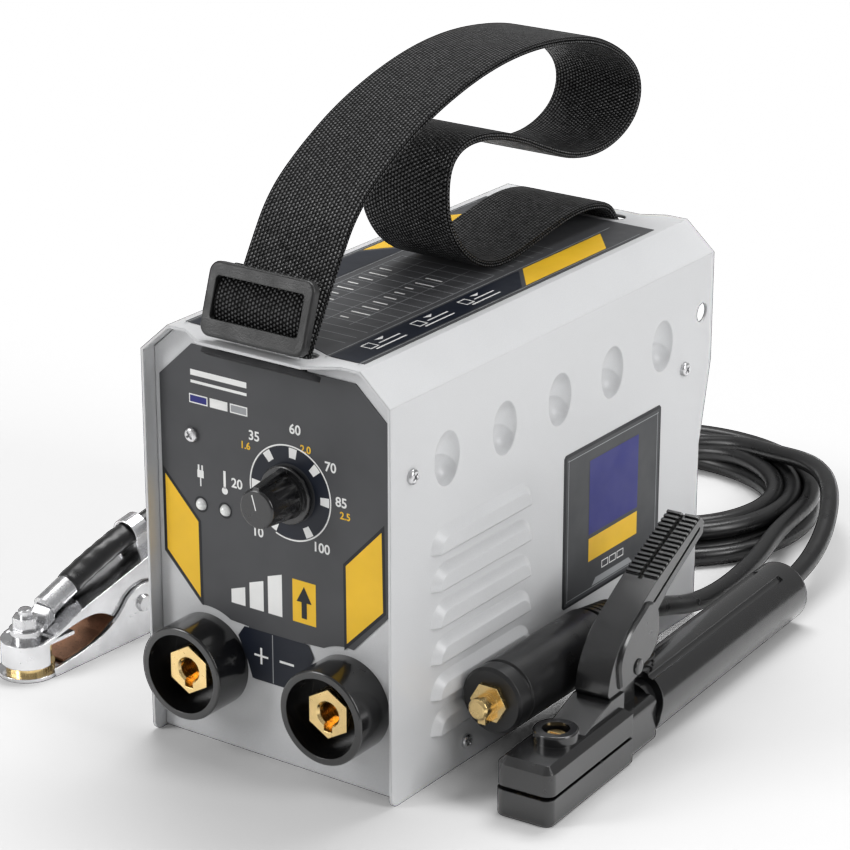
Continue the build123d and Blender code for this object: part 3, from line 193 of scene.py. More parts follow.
def printed(name, colour, rough=0.4, fade=0.05):
    """Ink under a satin film: even colour with a slight unevenness and fine film texture."""
    g = Graph(name)
    where = g.place()
    cloud = g.spread(g.noise(where, 60, 2), 0.3, 0.7)
    g.feed(g.shader.inputs["Base Color"], g.blend(cloud, shade(colour, 1 - fade), shade(colour, 1 + fade)))
    smudge = g.noise(where, 90, 4)
    g.feed(g.shader.inputs["Roughness"], g.spread(smudge, 0.3, 0.7, rough * 0.85, rough * 1.2))
    g.shader.inputs["Specular IOR Level"].default_value = 0.3
    g.bump(0.06, 0.1, g.noise(where, 1800, 2))
    return g.material


def woven(name, colour):
    """Webbing, on a UV map in millimetres: beads of yarn in offset columns, with a painted highlight on each
    bead's top and painted shade in the gaps between them.
    """
    pitch_across, pitch_along = 1.55, 1.75
    g = Graph(name)
    uv = g.add("ShaderNodeSeparateXYZ", {0: g.add("ShaderNodeUVMap", uv_map="weave").outputs[0]})
    across = g.maths("DIVIDE", uv.outputs["X"], pitch_across)
    column = g.maths("FLOOR", across)
    shift = g.maths("MULTIPLY", g.maths("PINGPONG", column, 1.0), 0.5)
    along = g.maths("ADD", g.maths("DIVIDE", uv.outputs["Y"], pitch_along), shift)
    wave_u = g.maths("ABSOLUTE", g.maths("SINE", g.maths("MULTIPLY", across, math.pi)))
    wave_v = g.maths("ABSOLUTE", g.maths("SINE", g.maths("MULTIPLY", along, math.pi)))
    bead = g.maths("POWER", g.maths("MULTIPLY", wave_u, wave_v), 0.9)
    where = g.place()
    uneven = g.spread(g.noise(where, 420, 3), 0.3, 0.7, 0.55, 1.25)
    height = g.maths("MULTIPLY", bead, uneven)
    # bead tops lighter and gaps darker in colour: a painted highlight and painted shade on black yarn
    painted_bead_light = g.spread(height, 0.25, 1.0)
    g.feed(g.shader.inputs["Base Color"], g.blend(painted_bead_light, shade(colour, 0.1), shade(colour, 4.6)))
    fibre = g.noise(where, 3200, 2)
    g.feed(g.shader.inputs["Roughness"], g.spread(fibre, 0.3, 0.7, 0.3, 0.5))
    g.feed(g.shader.inputs["Specular IOR Level"], g.spread(height, 0.2, 0.9, 0.1, 0.9))
    g.bump(1.0, 1.3, height)
    return g.material


def lens_clear(name):
    """The lamps' clear caps, milky and glossy."""
    g = Graph(name)
    where = g.place()
    cloud = g.spread(g.noise(where, 300, 2), 0.3, 0.7)
    g.feed(g.shader.inputs["Base Color"], g.blend(cloud, (0.78, 0.8, 0.78, 1), (0.95, 0.96, 0.95, 1)))
    g.feed(g.shader.inputs["Roughness"], g.spread(cloud, 0, 1, 0.08, 0.2))
    g.shader.inputs["Coat Weight"].default_value = 0.6
    return g.material


slot_look = {
    "case_paint": powder_coat("case_paint", (0.60, 0.605, 0.615)),
    "chassis_paint": powder_coat("chassis_paint", (0.56, 0.565, 0.575)),
    "overlay": printed("overlay", (0.062, 0.063, 0.067), 0.42),
    "side_overlay": printed("side_overlay", (0.05, 0.052, 0.056), 0.42),
    "screw_steel": plated("screw_steel", (0.66, 0.66, 0.67), 0.24),
    "black_plastic": moulded(
        "black_plastic", (0.006, 0.006, 0.0065), 0.22, grain=900, relief=0.05, coat=0.5, edge=0.6, shine=0.6
    ),
    "knob_plastic": moulded(
        "knob_plastic", (0.007, 0.007, 0.008), 0.25, grain=900, relief=0.05, coat=0.4, shine=0.6
    ),
    "buckle_plastic": moulded("buckle_plastic", (0.013, 0.013, 0.0135), 0.4, relief=0.6, edge=0.7),
    "brass": plated("brass", (0.86, 0.63, 0.29), 0.22, (1, 6, 1)),
    "copper": plated("copper", (0.78, 0.42, 0.26), 0.34, (8, 1, 8), 500, 0.5, tarnish=0.7),
    "webbing": woven("webbing", (0.016, 0.016, 0.0165)),
    "zinc_steel": plated("zinc_steel", (0.74, 0.74, 0.75), 0.2, (3, 1, 3), 120, 0.05, 0.5, 0.88),
    "cable_rubber": moulded("cable_rubber", (0.010, 0.010, 0.0105), 0.3, grain=700, relief=0.08, edge=0.2),
    "sleeve_rubber": moulded("sleeve_rubber", (0.009, 0.009, 0.0095), 0.33, grain=1100, relief=0.18),
    "lamp_clear": lens_clear("lamp_clear"),
    "fibreglass": moulded("fibreglass", (0.02, 0.16, 0.06), 0.45),
    "heatsink": plated("heatsink", (0.62, 0.63, 0.65), 0.38, (1, 12, 1)),
    "ferrite": moulded("ferrite", (0.06, 0.06, 0.065), 0.6),
    "winding": plated("winding", (0.62, 0.3, 0.13), 0.3, (1, 1, 14), 420, 0.5),
    "component_black": moulded("component_black", (0.02, 0.02, 0.02), 0.5),
    "capacitor_sleeve": moulded("capacitor_sleeve", (0.02, 0.05, 0.22), 0.3),
    "fan_plastic": moulded("fan_plastic", (0.03, 0.03, 0.031), 0.48),
    "guard_wire": plated("guard_wire", (0.7, 0.7, 0.71), 0.18),
    "switch_plastic": moulded("switch_plastic", (0.02, 0.02, 0.021), 0.3, coat=0.2),
}
anchor_paint = moulded("anchor_paint", (0.03, 0.03, 0.032), 0.65, shine=0.2)
ink_white = printed("ink_white", (0.80, 0.80, 0.79), 0.42)
ink_yellow = printed("ink_yellow", (0.83, 0.50, 0.025), 0.4)
ink_black = printed("ink_black", (0.012, 0.013, 0.016), 0.4)
ink_navy = printed("ink_navy", (0.008, 0.011, 0.02), 0.4)
ink_grey = printed("ink_grey", (0.30, 0.31, 0.32), 0.42)
ink_blue = printed("ink_blue", (0.018, 0.02, 0.17), 0.4)

for row in frame["record"]["subparts"]:
    held = nodes[row["node"]]
    if not held.data.materials:
        held.data.materials.append(None)
    for slot_item in held.material_slots:
        slot_item.material = slot_look[row["material_slot"]]
nodes["strap_anchors"].material_slots[0].material = anchor_paint


# ---- printed films ------------------------------------------------------------------------
front_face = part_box("front_fascia")[0].y / MM
side_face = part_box("side_labels")[1].x / MM
top_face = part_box("top_label")[1].z / MM
layer = 0.07  # each print lies this far in front of the one under it


def on_front(u, v, lift):
    """x across and height up the front film."""
    return Vector((u, front_face - lift, v)) * MM


def on_right(u, v, lift):
    """Distance from the front edge and height on the right side film."""
    return Vector((side_face + lift, front_y + u, v)) * MM


def on_left(u, v, lift):
    """The same on the left side film."""
    return Vector((-side_face - lift, front_y + u, v)) * MM


def on_top(u, v, lift):
    """x across and distance from the front edge on the top film."""
    return Vector((u, front_y + v, top_face + lift)) * MM


def loose_piece(name, mesh, look):
    """The mesh in the scene, in its look and material slot, on no body yet."""
    piece = bpy.data.objects.new(name, mesh)
    bpy.context.scene.collection.objects.link(piece)
    mesh.materials.clear()
    mesh.materials.append(look)
    return piece


def add_piece(name, mesh, look, body="root"):
    """A piece that rides one body."""
    piece = loose_piece(name, mesh, look)
    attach(piece, body)
    return piece


def turned_left(outline):
    """The outline, anticlockwise."""
    area = sum(a[0] * b[1] - b[0] * a[1] for a, b in zip(outline, outline[1:] + outline[:1]))
    return outline if area > 0 else outline[::-1]


def film(name, outlines, place, level, look):
    """Flat printed shapes, all in one ink."""
    points, faces = [], []
    for outline in outlines:
        outline = turned_left(list(outline))
        if place is on_left:
            outline = outline[::-1]
        faces.append(range(len(points), len(points) + len(outline)))
        points += [place(u, v, level * layer) for u, v in outline]
    mesh = bpy.data.meshes.new(name)
    mesh.from_pydata(points, [], faces)
    return add_piece(name, mesh, look)


def figures(name, words, height, look):
    """Figures on the front film: (text, centre u, centre v) each."""
    points, faces = [], []
    for text, u, v in words:
        letters = bpy.data.curves.new(name, "FONT")
        letters.body = text
        letters.align_x = "CENTER"
        letters.align_y = "CENTER"
        letters.size = height / 0.72
        letters.offset = height * 0.03
        holder = bpy.data.objects.new(name, letters)
        flat = bpy.data.meshes.new_from_object(holder)
        first = len(points)
        points += [on_front(u + p.co.x, v + p.co.y, layer) for p in flat.vertices]
        faces += [[first + i for i in f.vertices] for f in flat.polygons]
        bpy.data.objects.remove(holder)
    mesh = bpy.data.meshes.new(name)
    mesh.from_pydata(points, [], faces)
    return add_piece(name, mesh, look)


def inset(outline, distance):
    """A convex outline moved inwards."""
    outline = turned_left(list(outline))
    count = len(outline)
    lines = []
    for i in range(count):
        (ax, ay), (bx, by) = outline[i], outline[(i + 1) % count]
        long = math.hypot(bx - ax, by - ay)
        nx, ny = -(by - ay) / long, (bx - ax) / long
        lines.append((nx, ny, nx * ax + ny * ay + distance))
    moved = []
    for i in range(count):
        (a1, b1, c1), (a2, b2, c2) = lines[i - 1], lines[i]
        det = a1 * b2 - a2 * b1
        moved.append(((c1 * b2 - c2 * b1) / det, (a1 * c2 - a2 * c1) / det))
    return moved


def bordered(name, outline, place, level, border, edge_look, fill_look):
    """A convex shape with a printed border."""
    film(name + "_border", [outline], place, level, edge_look)
    film(name, [inset(outline, border)], place, level + 1, fill_look)


def rectangle(u0, v0, u1, v1):
    """An upright rectangle between two corners."""
    return [(u0, v0), (u1, v0), (u1, v1), (u0, v1)]


def bar(start, end, width):
    """A straight printed line as an outline."""
    across = Vector((start[1] - end[1], end[0] - start[0])).normalized() * width / 2
    a, b = Vector(start), Vector(end)
    return [tuple(a + across), tuple(b + across), tuple(b - across), tuple(a - across)]


def arc_band(u, v, inner, outer, start, end, steps=24):
    """A stretch of a ring, angles in degrees from +u towards +v."""
    angles = [math.radians(start + (end - start) * i / steps) for i in range(steps + 1)]
    outside = [(u + outer * math.cos(a), v + outer * math.sin(a)) for a in angles]
    inside = [(u + inner * math.cos(a), v + inner * math.sin(a)) for a in reversed(angles)]
    return outside + inside


def disc(u, v, radius, steps):
    """A round outline."""
    angles = [math.tau * i / steps for i in range(steps)]
    return [(u + radius * math.cos(a), v + radius * math.sin(a)) for a in angles]


def box_frame(u0, v0, u1, v1, line):
    """A rectangle drawn as four printed lines."""
    return [
        rectangle(u0, v0, u1, v0 + line), rectangle(u0, v1 - line, u1, v1),
        rectangle(u0, v0 + line, u0 + line, v1 - line), rectangle(u1 - line, v0 + line, u1, v1 - line)
    ]


dial_x, dial_z = 7.9, 118.1


def front_prints():
    """The front film: warning wedges, sign block, power bars, dial and lamps."""
    left_wedge = [(-55.9, 115.4), (-37.0, 95.6), (-36.8, 59.2), (-55.9, 79.2)]
    right_wedge = [(33.0, 94.6), (52.6, 115.2), (53.2, 78.4), (33.2, 58.2)]
    bordered("wedge_left", left_wedge, on_front, 1, 1.3, ink_black, ink_yellow)
    bordered("wedge_right", right_wedge, on_front, 1, 1.3, ink_black, ink_yellow)
    film("sign_block", [[
        (-16.2, 55.6), (15.6, 55.8), (18.2, 50.6), (13.0, 40.0), (12.6, 34.1), (-12.6, 34.1), (-14.5, 40.0),
        (-19.4, 51.0)
    ]], on_front, 1, ink_navy)
    film("sign_divider", [rectangle(-2.3, 34.4, -1.9, 55.4)], on_front, 2, ink_grey)
    film("signs", [
        rectangle(-11.4, 44.3, -4.4, 45.2), rectangle(-8.4, 45.2, -7.4, 48.3),
        rectangle(-8.4, 41.2, -7.4, 44.3), rectangle(1.3, 44.4, 8.4, 45.4)
    ], on_front, 2, ink_white)
    # rising power bars
    film("power_bars", [
        [(left, 64.4), (left + 7.0, 64.4), (left + 7.0, high), (left, high - 2.4)]
        for left, high in ((-22.4, 72.6), (-13.2, 77.6), (-4.0, 82.6))
    ], on_front, 1, ink_white)
    film("power_box", [rectangle(8.2, 64.4, 19.6, 82.4)], on_front, 1, ink_yellow)
    film("power_arrow", [
        [(13.9, 80.2), (10.2, 73.4), (17.6, 73.4)], rectangle(12.6, 66.6, 15.2, 73.4)
    ], on_front, 2, ink_black)
    # plain lines and tally boxes at the top
    film("header_lines", [
        rectangle(-40.4, 156.6, -12.6, 159.0), rectangle(-40.4, 153.4, -12.6, 154.6)
    ], on_front, 1, ink_white)
    tallies = (
        ("first", -41.3, -32.1, ink_blue), ("middle", -31.0, -22.2, ink_white),
        ("last", -21.0, -12.4, ink_grey)
    )
    for name, left, right, look in tallies:
        bordered("tally_" + name, rectangle(left, 145.0, right, 148.8), on_front, 1, 0.5, ink_white, look)
    # lamp signs: a plug and a thermometer
    film("plug_sign", [
        rectangle(-38.2, 114.2, -35.0, 117.4), rectangle(-37.9, 117.4, -37.1, 119.6),
        rectangle(-36.1, 117.4, -35.3, 119.6), rectangle(-36.9, 110.6, -36.3, 114.2)
    ], on_front, 1, ink_white)
    film("heat_sign", [
        disc(-24.5, 111.4, 1.5, 20), rectangle(-25.1, 112.4, -23.9, 119.8)
    ], on_front, 1, ink_white)
    film("lamp_rings", [
        arc_band(-36.6, 102.9, 2.7, 3.4, 0, 360), arc_band(-24.5, 103.1, 2.7, 3.4, 0, 360)
    ], on_front, 1, ink_black)


def dial_prints():
    """The current dial: a thin ring, tick blocks and round values."""
    film("dial_line", [arc_band(dial_x, dial_z, 19.2, 19.8, -112, 198, 72)], on_front, 2, ink_white)
    film("dial_ring", [arc_band(dial_x, dial_z, 12.0, 18.9, -118, 236, 80)], on_front, 1, ink_navy)
    ticks = [arc_band(dial_x, dial_z, 14.6, 18.8, a - 6, a + 6, 4) for a in (-118, -60, 0, 45, 85, 128, 180)]
    film("dial_ticks", ticks, on_front, 2, ink_white)
    figures("dial_values", [
        ("10", -8.4, 97.8), ("20", -18.4, 115.6), ("35", -9.4, 137.6), ("60", 10.6, 144.6),
        ("70", 27.4, 132.9), ("85", 32.4, 119.6), ("100", 22.6, 98.4)
    ], 4.0, ink_white)
    figures("rod_values", [
        ("1.6", -13.8, 132.8), ("2.0", 15.6, 137.6), ("2.5", 34.2, 114.4)
    ], 3.0, ink_yellow)


# distance from the front edge and height of the side films' corners
side_plate = [
    (120, 41.2), (121.2, 40), (193.8, 40), (195, 41.2), (195, 107.2), (193.8, 108.4), (121.2, 108.4),
    (120, 107.2)
]
plate_t = 0.25


def side_plates():
    """The two side films themselves, with nearly square corners."""
    points, faces = [], []
    count = len(side_plate)
    for place in (on_right, on_left):
        first = len(points)
        points += [place(u, v, lift) for lift in (0, -plate_t) for u, v in side_plate]
        rings = [[first + k for k in range(count)], [first + count + k for k in reversed(range(count))]]
        for k in range(count):
            n = (k + 1) % count
            rings.append([first + k, first + count + k, first + count + n, first + n])
        faces += rings if place is on_right else [ring[::-1] for ring in rings]
    mesh = bpy.data.meshes.new("side_plates")
    mesh.from_pydata(points, [], faces)
    plates = add_piece("side_plates", mesh, slot_look["side_overlay"])
    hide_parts("side_labels")


def side_prints(side, place):
    """One side film: plain panels in the layout of the real one."""
    edge, film_look = inset(side_plate, 0.15), slot_look["side_overlay"]
    bordered("side_border_" + side, edge, place, 1, 1.2, ink_black, film_look)
    ring = inset(side_plate, 3.0)
    lines = [bar(a, b, 0.35) for a, b in zip(ring, ring[1:] + ring[:1])]
    film("side_line_" + side, lines, place, 3, ink_grey)
    film("side_panel_" + side, [rectangle(139, 67.6, 177, 100.6)], place, 3, ink_blue)
    film("side_bar_" + side, [rectangle(139, 55.5, 177, 65.8)], place, 3, ink_yellow)
    boxes = []
    for k in range(3):
        boxes += box_frame(149.5 + 6.0 * k, 49.2, 154.7 + 6.0 * k, 52.6, 0.45)
    film("side_boxes_" + side, boxes, place, 3, ink_white)
    film("side_foot_" + side, [[(145, 46.6), (171, 46.6), (174, 43.6), (142, 43.6)]], place, 3, ink_grey)


def top_prints():
    """The top film: dark side strips, a ruled middle plate and yellow stripes."""
    strip = [(27.5, 7), (40.5, 7), (40.5, 117), (27.5, 134)]
    wedge = [(27.5, 137), (40.5, 120), (40.5, 180), (27.5, 196)]
    for side, turn in (("right", 1), ("left", -1)):
        film("top_strip_" + side, [[(turn * x, y) for x, y in strip]], on_top, 1, ink_navy)
        film("top_wedge_" + side, [[(turn * x, y) for x, y in wedge]], on_top, 1, ink_yellow)
        edges = [bar((turn * x, 5), (turn * x, 205), 0.35) for x in (41.6, 26.4)]
        film("top_edges_" + side, edges, on_top, 2, ink_grey)
    rules = [rectangle(-23, 22 + 7.2 * k, 23, 22.35 + 7.2 * k) for k in range(21)]
    rules += [rectangle(-23 + 11.5 * k, 40, -22.7 + 11.5 * k, 122) for k in range(5)]
    film("top_rules", rules, on_top, 1, ink_grey)
    small = []
    for k in range(9):
        small.append(rectangle(-20.6, 46.2 + 7.2 * k, -20.6 + 5 + (k * 7) % 5, 47.2 + 7.2 * k))
        small.append(rectangle(2.4, 46.2 + 7.2 * k, 2.4 + 4 + (k * 5) % 6, 47.2 + 7.2 * k))
    film("top_entries", small, on_top, 1, ink_white)
    marks = []
    for k in range(3):
        y = 22 + 32 * k
        marks += box_frame(30.0, y, 35.4, y + 5.4, 0.6)
        marks += [rectangle(36.4, y + 1.4, 37.2, y + 21), rectangle(33.2, y + 7.4, 34.0, y + 21)]
        marks.append([(30.0, y + 9), (32.0, y + 12), (30.0, y + 15)])
    film("top_marks", marks, on_top, 2, ink_white)


front_prints()
dial_prints()
side_plates()
side_prints("right", on_right)
side_prints("left", on_left)
top_prints()


# ---- lines ---------------------------------------------------------------------------------
def smooth_line(points, name):
    """A NURBS line of order 3 on those control points, in metres."""
    line = bpy.data.curves.new(name, "CURVE")
    line.dimensions = "3D"
    line.twist_mode = "MINIMUM"
    line.resolution_u = 8
    spline = line.splines.new("NURBS")
    spline.points.add(len(points) - 1)
    for point, place in zip(spline.points, points):
        point.co = (*[c * MM for c in place], 1.0)
    spline.order_u = 3
    spline.use_endpoint_u = True
    return line


def read_line(line):
    """The points that Blender draws the bare line through."""
    carrier = bpy.data.objects.new("carrier", line)
    drawn = bpy.data.meshes.new_from_object(carrier)
    bpy.data.objects.remove(carrier)
    return [v.co.copy() for v in drawn.vertices]


def even_steps(points, step):
    """The same line with equal steps."""
    run = [0.0]
    for a, b in zip(points, points[1:]):
        run.append(run[-1] + (b - a).length)
    count = max(2, round(run[-1] / step))
    spaced, k = [], 0
    for i in range(count + 1):
        goal = run[-1] * i / count
        while k < len(run) - 2 and run[k + 1] < goal:
            k += 1
        share = (goal - run[k]) / max(run[k + 1] - run[k], 1e-9)
        spaced.append(points[k].lerp(points[k + 1], min(1.0, share)))
    return spaced, run[-1]


# ---- strap ---------------------------------------------------------------------------------
strap_w, strap_t, strap_flat = 42.0, 3.2, 0.605
tail_w, tail_t, tail_flat = 41.0, 2.4, 0.031
# distance from the front edge and height, along the middle of the webbing
strap_route = [
    (-0.4, 172), (3.0, 177.5), (21.3, 208.8), (33.2, 226.9), (53.5, 240.3), (79.9, 253.0), (116.0, 262.9),
    (149.4, 266.2), (182.1, 263.4), (208.5, 256.9), (232.0, 242.6), (237.7, 229.2), (230.2, 217.2),
    (210.4, 210.7), (186.2, 212.4), (162.4, 221.7), (145.9, 229.2), (125.6, 235.5), (105.9, 237.1),
    (94.9, 230.7), (92.6, 217.2), (95.2, 203.9), (106.5, 190.0), (122.2, 181.4), (140.4, 180.4),
    (163.4, 184.8), (187.0, 188.6), (206.6, 187.0), (217.8, 181.6), (222.4, 172.0)
]
# distance down the buckle and out from its middle
tail_route = [
    (13.6, -3.05), (8.6, -2.4), (4.0, -0.2), (-1.0, 0.4), (-6.0, -0.4), (-10.0, -2.6), (-13.6, -8.0)
]
buckle_lean = math.radians(18.5)
buckle_middle = (-1.1, 193.4)


def webbing_section(width, thick):
    """The strap's outline across its width: slightly crowned, with a groove between its two layers."""
    w, t = width / 2, thick / 2
    upper = [(w - 3.0, t), (w - 1.2, t * 0.98), (w - 0.35, t * 0.86), (w, t * 0.55), (w - 0.1, t * 0.25)]
    side = upper + [(w - 0.7, 0.0)] + [(x, -y) for x, y in reversed(upper)]
    return side + [(-x, y) for x, y in reversed(side)]


def strap_mesh(name, points, width, thick):
    """Webbing swept along a line that stays in the plane x = 0, with its weave mapped in millimetres."""
    spaced, long = even_steps(points, 2.2 * MM)
    section = webbing_section(width, thick)
    count = len(section)
    around = [0.0]
    for a, b in zip(section, section[1:] + section[:1]):
        around.append(around[-1] + math.dist(a, b))
    corners, faces, uvs = [], [], []
    for i, here in enumerate(spaced):
        along = (spaced[min(i + 1, len(spaced) - 1)] - spaced[max(i - 1, 0)]).normalized()
        out = Vector((1, 0, 0)).cross(along)
        corners += [here + Vector((x, 0, 0)) * MM + out * t * MM for x, t in section]
    step = long / MM / (len(spaced) - 1)
    for i in range(len(spaced) - 1):
        for k in range(count):
            n = (k + 1) % count
            faces.append((i * count + k, i * count + n, (i + 1) * count + n, (i + 1) * count + k))
            low, high = i * step, (i + 1) * step
            uvs += [(around[k], low), (around[k + 1], low), (around[k + 1], high), (around[k], high)]
    for first, turn in ((0, -1), ((len(spaced) - 1) * count, 1)):
        ring = [first + k for k in range(count)][::turn]
        faces.append(ring)
        uvs += [section[k - first] for k in ring]
    mesh = bpy.data.meshes.new(name)
    mesh.from_pydata(corners, [], faces)
    weave = mesh.uv_layers.new(name="weave")
    for loop, uv in zip(weave.data, uvs):
        loop.uv = uv
    for face in mesh.polygons:
        face.use_smooth = len(face.vertices) == 4
    mesh.update()
    return mesh


strap_points = read_line(smooth_line([(0, front_y + y, z) for y, z in strap_route], "strap_line"))
strap_data = strap_mesh("woven_strap", strap_points, strap_w, strap_t)
strap = add_piece("woven_strap", strap_data, slot_look["webbing"])
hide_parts("carry_strap")


def beside_buckle(down, back):
    """A point measured down the buckle and out from its middle, as (x, y, z)."""
    up = Vector((0, math.sin(buckle_lean), math.cos(buckle_lean)))
    out = Vector((0, -math.cos(buckle_lean), math.sin(buckle_lean)))
    place = Vector((0, front_y + buckle_middle[0], buckle_middle[1])) - up * down + out * back
    return tuple(place)


tail_points = read_line(smooth_line([beside_buckle(d, b) for d, b in tail_route], "tail_line"))
tail_data = strap_mesh("woven_tail", tail_points, tail_w, tail_t)
tail = add_piece("woven_tail", tail_data, slot_look["webbing"])
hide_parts("strap_tail")


# ---- leads ---------------------------------------------------------------------------------
cable_d = 8.5
middle_lap = cable_d * 1.5  # height of the coil's second layer
inner_column, earth_column = 54.25, 71.5  # radii that the two leads are wound at
coil_x, coil_y = -14.0, 325.0


def behind(route):
    """A route whose y counts from the case's front edge, moved into the part's frame."""
    return [(x, front_y + y, z) for x, y, z in route]


def turned(route, x, y, degrees):
    """A route in the frame of an accessory that stands turned at (x, y)."""
    c, s = math.cos(math.radians(degrees)), math.sin(math.radians(degrees))
    return [(x + c * u - s * v, y + s * u + c * v, w) for u, v, w in route]


def coil_turns(start, end, lap):
    """Points round the coil between two angles in degrees; lap gives radius and height at an angle."""
    count = math.ceil(abs(end - start) / 22.5)
    turns = []
    for i in range(count + 1):
        angle = start + (end - start) * i / count
        radius, height = lap(angle)
        a = math.radians(angle)
        turns.append((coil_x + radius * math.cos(a), front_y + coil_y + radius * math.sin(a), height))
    return turns


def eased(value, low, high):
    """0 below low, 1 above high, and a smooth ramp between."""
    share = min(1.0, max(0.0, (value - low) / (high - low)))
    return share * share * (3 - 2 * share)


def electrode_lap(angle):
    """Four turns: down the inner column, then up the outer one, loosely wound."""
    wobble = 0.5 * math.sin(math.radians(angle * 0.7))
    radius = inner_column + cable_d * eased(angle, 800, 860) + wobble
    height = middle_lap - cable_d * eased(angle, 440, 500) + cable_d * eased(angle, 1160, 1220)
    return radius, height


def earth_lap(angle):
    """A turn and a half, clockwise, round the other lead, which climbs a layer near its middle."""
    return earth_column, middle_lap - cable_d * eased(angle, -165, -105)


# where the clamp and the holder stand: x, y and turn in degrees
earth_clamp = (-140.5, front_y, -3.4)
holder_place = (107.1, front_y + 20, 3.3)
earth_line_points = (
    turned([(0, 38, 31), (0, 52, 37), (0, 68, 41.4), (0, 84, 44.5), (0, 98.5, 47.3)], *earth_clamp)
    + behind([
        (-133.2, 118, 54), (-131.2, 146, 61), (-128, 176, 56), (-122.5, 206, 36), (-115, 236, 15.5),
        (-104, 268, 5.2), (-93, 298, 4.25), (-86.8, 315, 4.25)
    ])
    + coil_turns(163, -342, earth_lap)
    + behind([
        (57.6, 316, 12.75), (60, 300, 12.6), (67, 270, 11.5), (70, 235, 10.4), (71.4, 205, 15),
        (74.5, 176, 26), (77, 147, 34), (77, 123, 34)
    ])
)
electrode_line_points = (
    turned([(0, 213, 13.5), (0, 243, 13.5)], *holder_place)
    + behind([
        (88, 294, 19), (77, 322, 26), (62, 345, 27.5), (43, 362, 25), (20, 372.5, 20.5), (-4, 381, 17.5)
    ])
    + coil_turns(110, 1552, electrode_lap)
    + behind([
        (-69, 353, 17.5), (-77, 318, 24), (-82, 292, 26), (-84, 266, 20), (-84, 240, 14.3), (-84, 222, 14.05)
    ])
)


def round_tube(name, line, radius):
    """The line as a round tube with flat ends."""
    line.bevel_depth = radius * MM
    line.bevel_resolution = 5
    line.use_fill_caps = True
    carrier = bpy.data.objects.new("carrier", line)
    mesh = bpy.data.meshes.new_from_object(carrier)
    bpy.data.objects.remove(carrier)
    mesh.name = name
    for face in mesh.polygons:
        face.use_smooth = True
    return mesh


def lead_tube(name, points):
    """A round rubber tube along the smooth line, with the line's own points."""
    line = smooth_line(points, name)
    path = read_line(line)
    long = sum((b - a).length for a, b in zip(path, path[1:]))
    return round_tube(name, line, cable_d / 2), path, long


earth_mesh, earth_path, earth_long = lead_tube("earth_lead", earth_line_points)
earth_lead = loose_piece("earth_lead", earth_mesh, slot_look["cable_rubber"])
tuple(Vector(earth_line_points[3]) * MM)
tuple(Vector(earth_line_points[5]) * MM)
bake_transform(earth_lead)
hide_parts("clamp_lead_end", "earth_lead_clamp_run", "earth_lead_coil", "earth_lead_plug_run")
tuple(earth_path[0])
[tuple(p) for p in earth_path]

electrode_mesh, electrode_path, electrode_long = lead_tube("electrode_lead", electrode_line_points)
electrode_lead = add_piece("electrode_lead", electrode_mesh, slot_look["cable_rubber"])
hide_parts("electrode_lead_holder_run", "electrode_lead_coil", "electrode_lead_plug_run")
tuple(electrode_path[0])
[tuple(p) for p in electrode_path]


# ---- small pieces --------------------------------------------------------------------------
def closed_rings(name, corners, sides):
    """A mesh over rings of corners, with smooth walls and flat ends."""
    rings = len(corners) // sides
    faces = []
    for i in range(rings - 1):
        for k in range(sides):
            n = (k + 1) % sides
            faces.append((i * sides + k, i * sides + n, (i + 1) * sides + n, (i + 1) * sides + k))
    faces += [tuple(reversed(range(sides))), tuple(range(len(corners) - sides, len(corners)))]
    mesh = bpy.data.meshes.new(name)
    mesh.from_pydata(corners, [], faces)
    for face in mesh.polygons:
        face.use_smooth = len(face.vertices) == 4
    return mesh


def bent_plate(name, near, far):
    """A plate between two copies of its outline, which runs out along one face and back along the other."""
    count = len(near)
    faces = [(k, (k + 1) % count, (k + 1) % count + count, k + count) for k in range(count)]
    for k in range(count // 2 - 1):
        back = count - 1 - k
        faces.append((k + 1, k, back, back - 1))
        faces.append((k + count, k + 1 + count, back - 1 + count, back + count))
    mesh = bpy.data.meshes.new(name)
    mesh.from_pydata(near + far, [], faces)
    return mesh


def along_path(path, distance):
    """The point that far along a line."""
    run = 0.0
    for a, b in zip(path, path[1:]):
        step = (b - a).length
        if run + step >= distance:
            return a.lerp(b, (distance - run) / step)
        run += step
    return path[-1]


def knob_index():
    """The pale index line moulded in the knob's face, from near its middle to the rim."""
    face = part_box("current_knob")[0].y / MM - 0.06
    outline = bar((dial_x - 0.4, dial_z - 0.5), (dial_x - 2.2, dial_z + 5.6), 0.55)
    mesh = bpy.data.meshes.new("knob_index")
    mesh.from_pydata([Vector((x, face, z)) * MM for x, z in turned_left(outline)], [], [range(4)])
    add_piece("knob_index", mesh, ink_white, body="knob")


def sleeve_on_lead():
    """The shrink sleeve over the clamp end of the lead, swollen at the barrel and creased a little."""
    sleeve_long, sleeve_r, sides = 46, 5.35, 28
    reach = [p for p in earth_path if (p - earth_path[0]).length < sleeve_long * MM]
    stations, _ = even_steps(reach, 1.5 * MM)
    last = len(stations) - 1
    corners = []
    for i, here in enumerate(stations):
        along = (stations[min(i + 1, last)] - stations[max(i - 1, 0)]).normalized()
        across = along.cross(Vector((0, 0, 1))).normalized()
        up = across.cross(along)
        share = i / last
        swell = 0.5 * math.exp(-18 * share) - (0.35 if i in (0, last) else 0)
        for k in range(sides):
            a = math.tau * k / sides
            crease = 0.14 * math.sin(3 * a + 9 * share) + 0.1 * math.sin(41 * share + 2 * a)
            spoke = across * math.cos(a) + up * math.sin(a)
            corners.append(here + spoke * (sleeve_r + swell + crease) * MM)
    mesh = closed_rings("lead_sleeve", corners, sides)
    add_piece("lead_sleeve", mesh, slot_look["sleeve_rubber"], body="clamp_jaw")


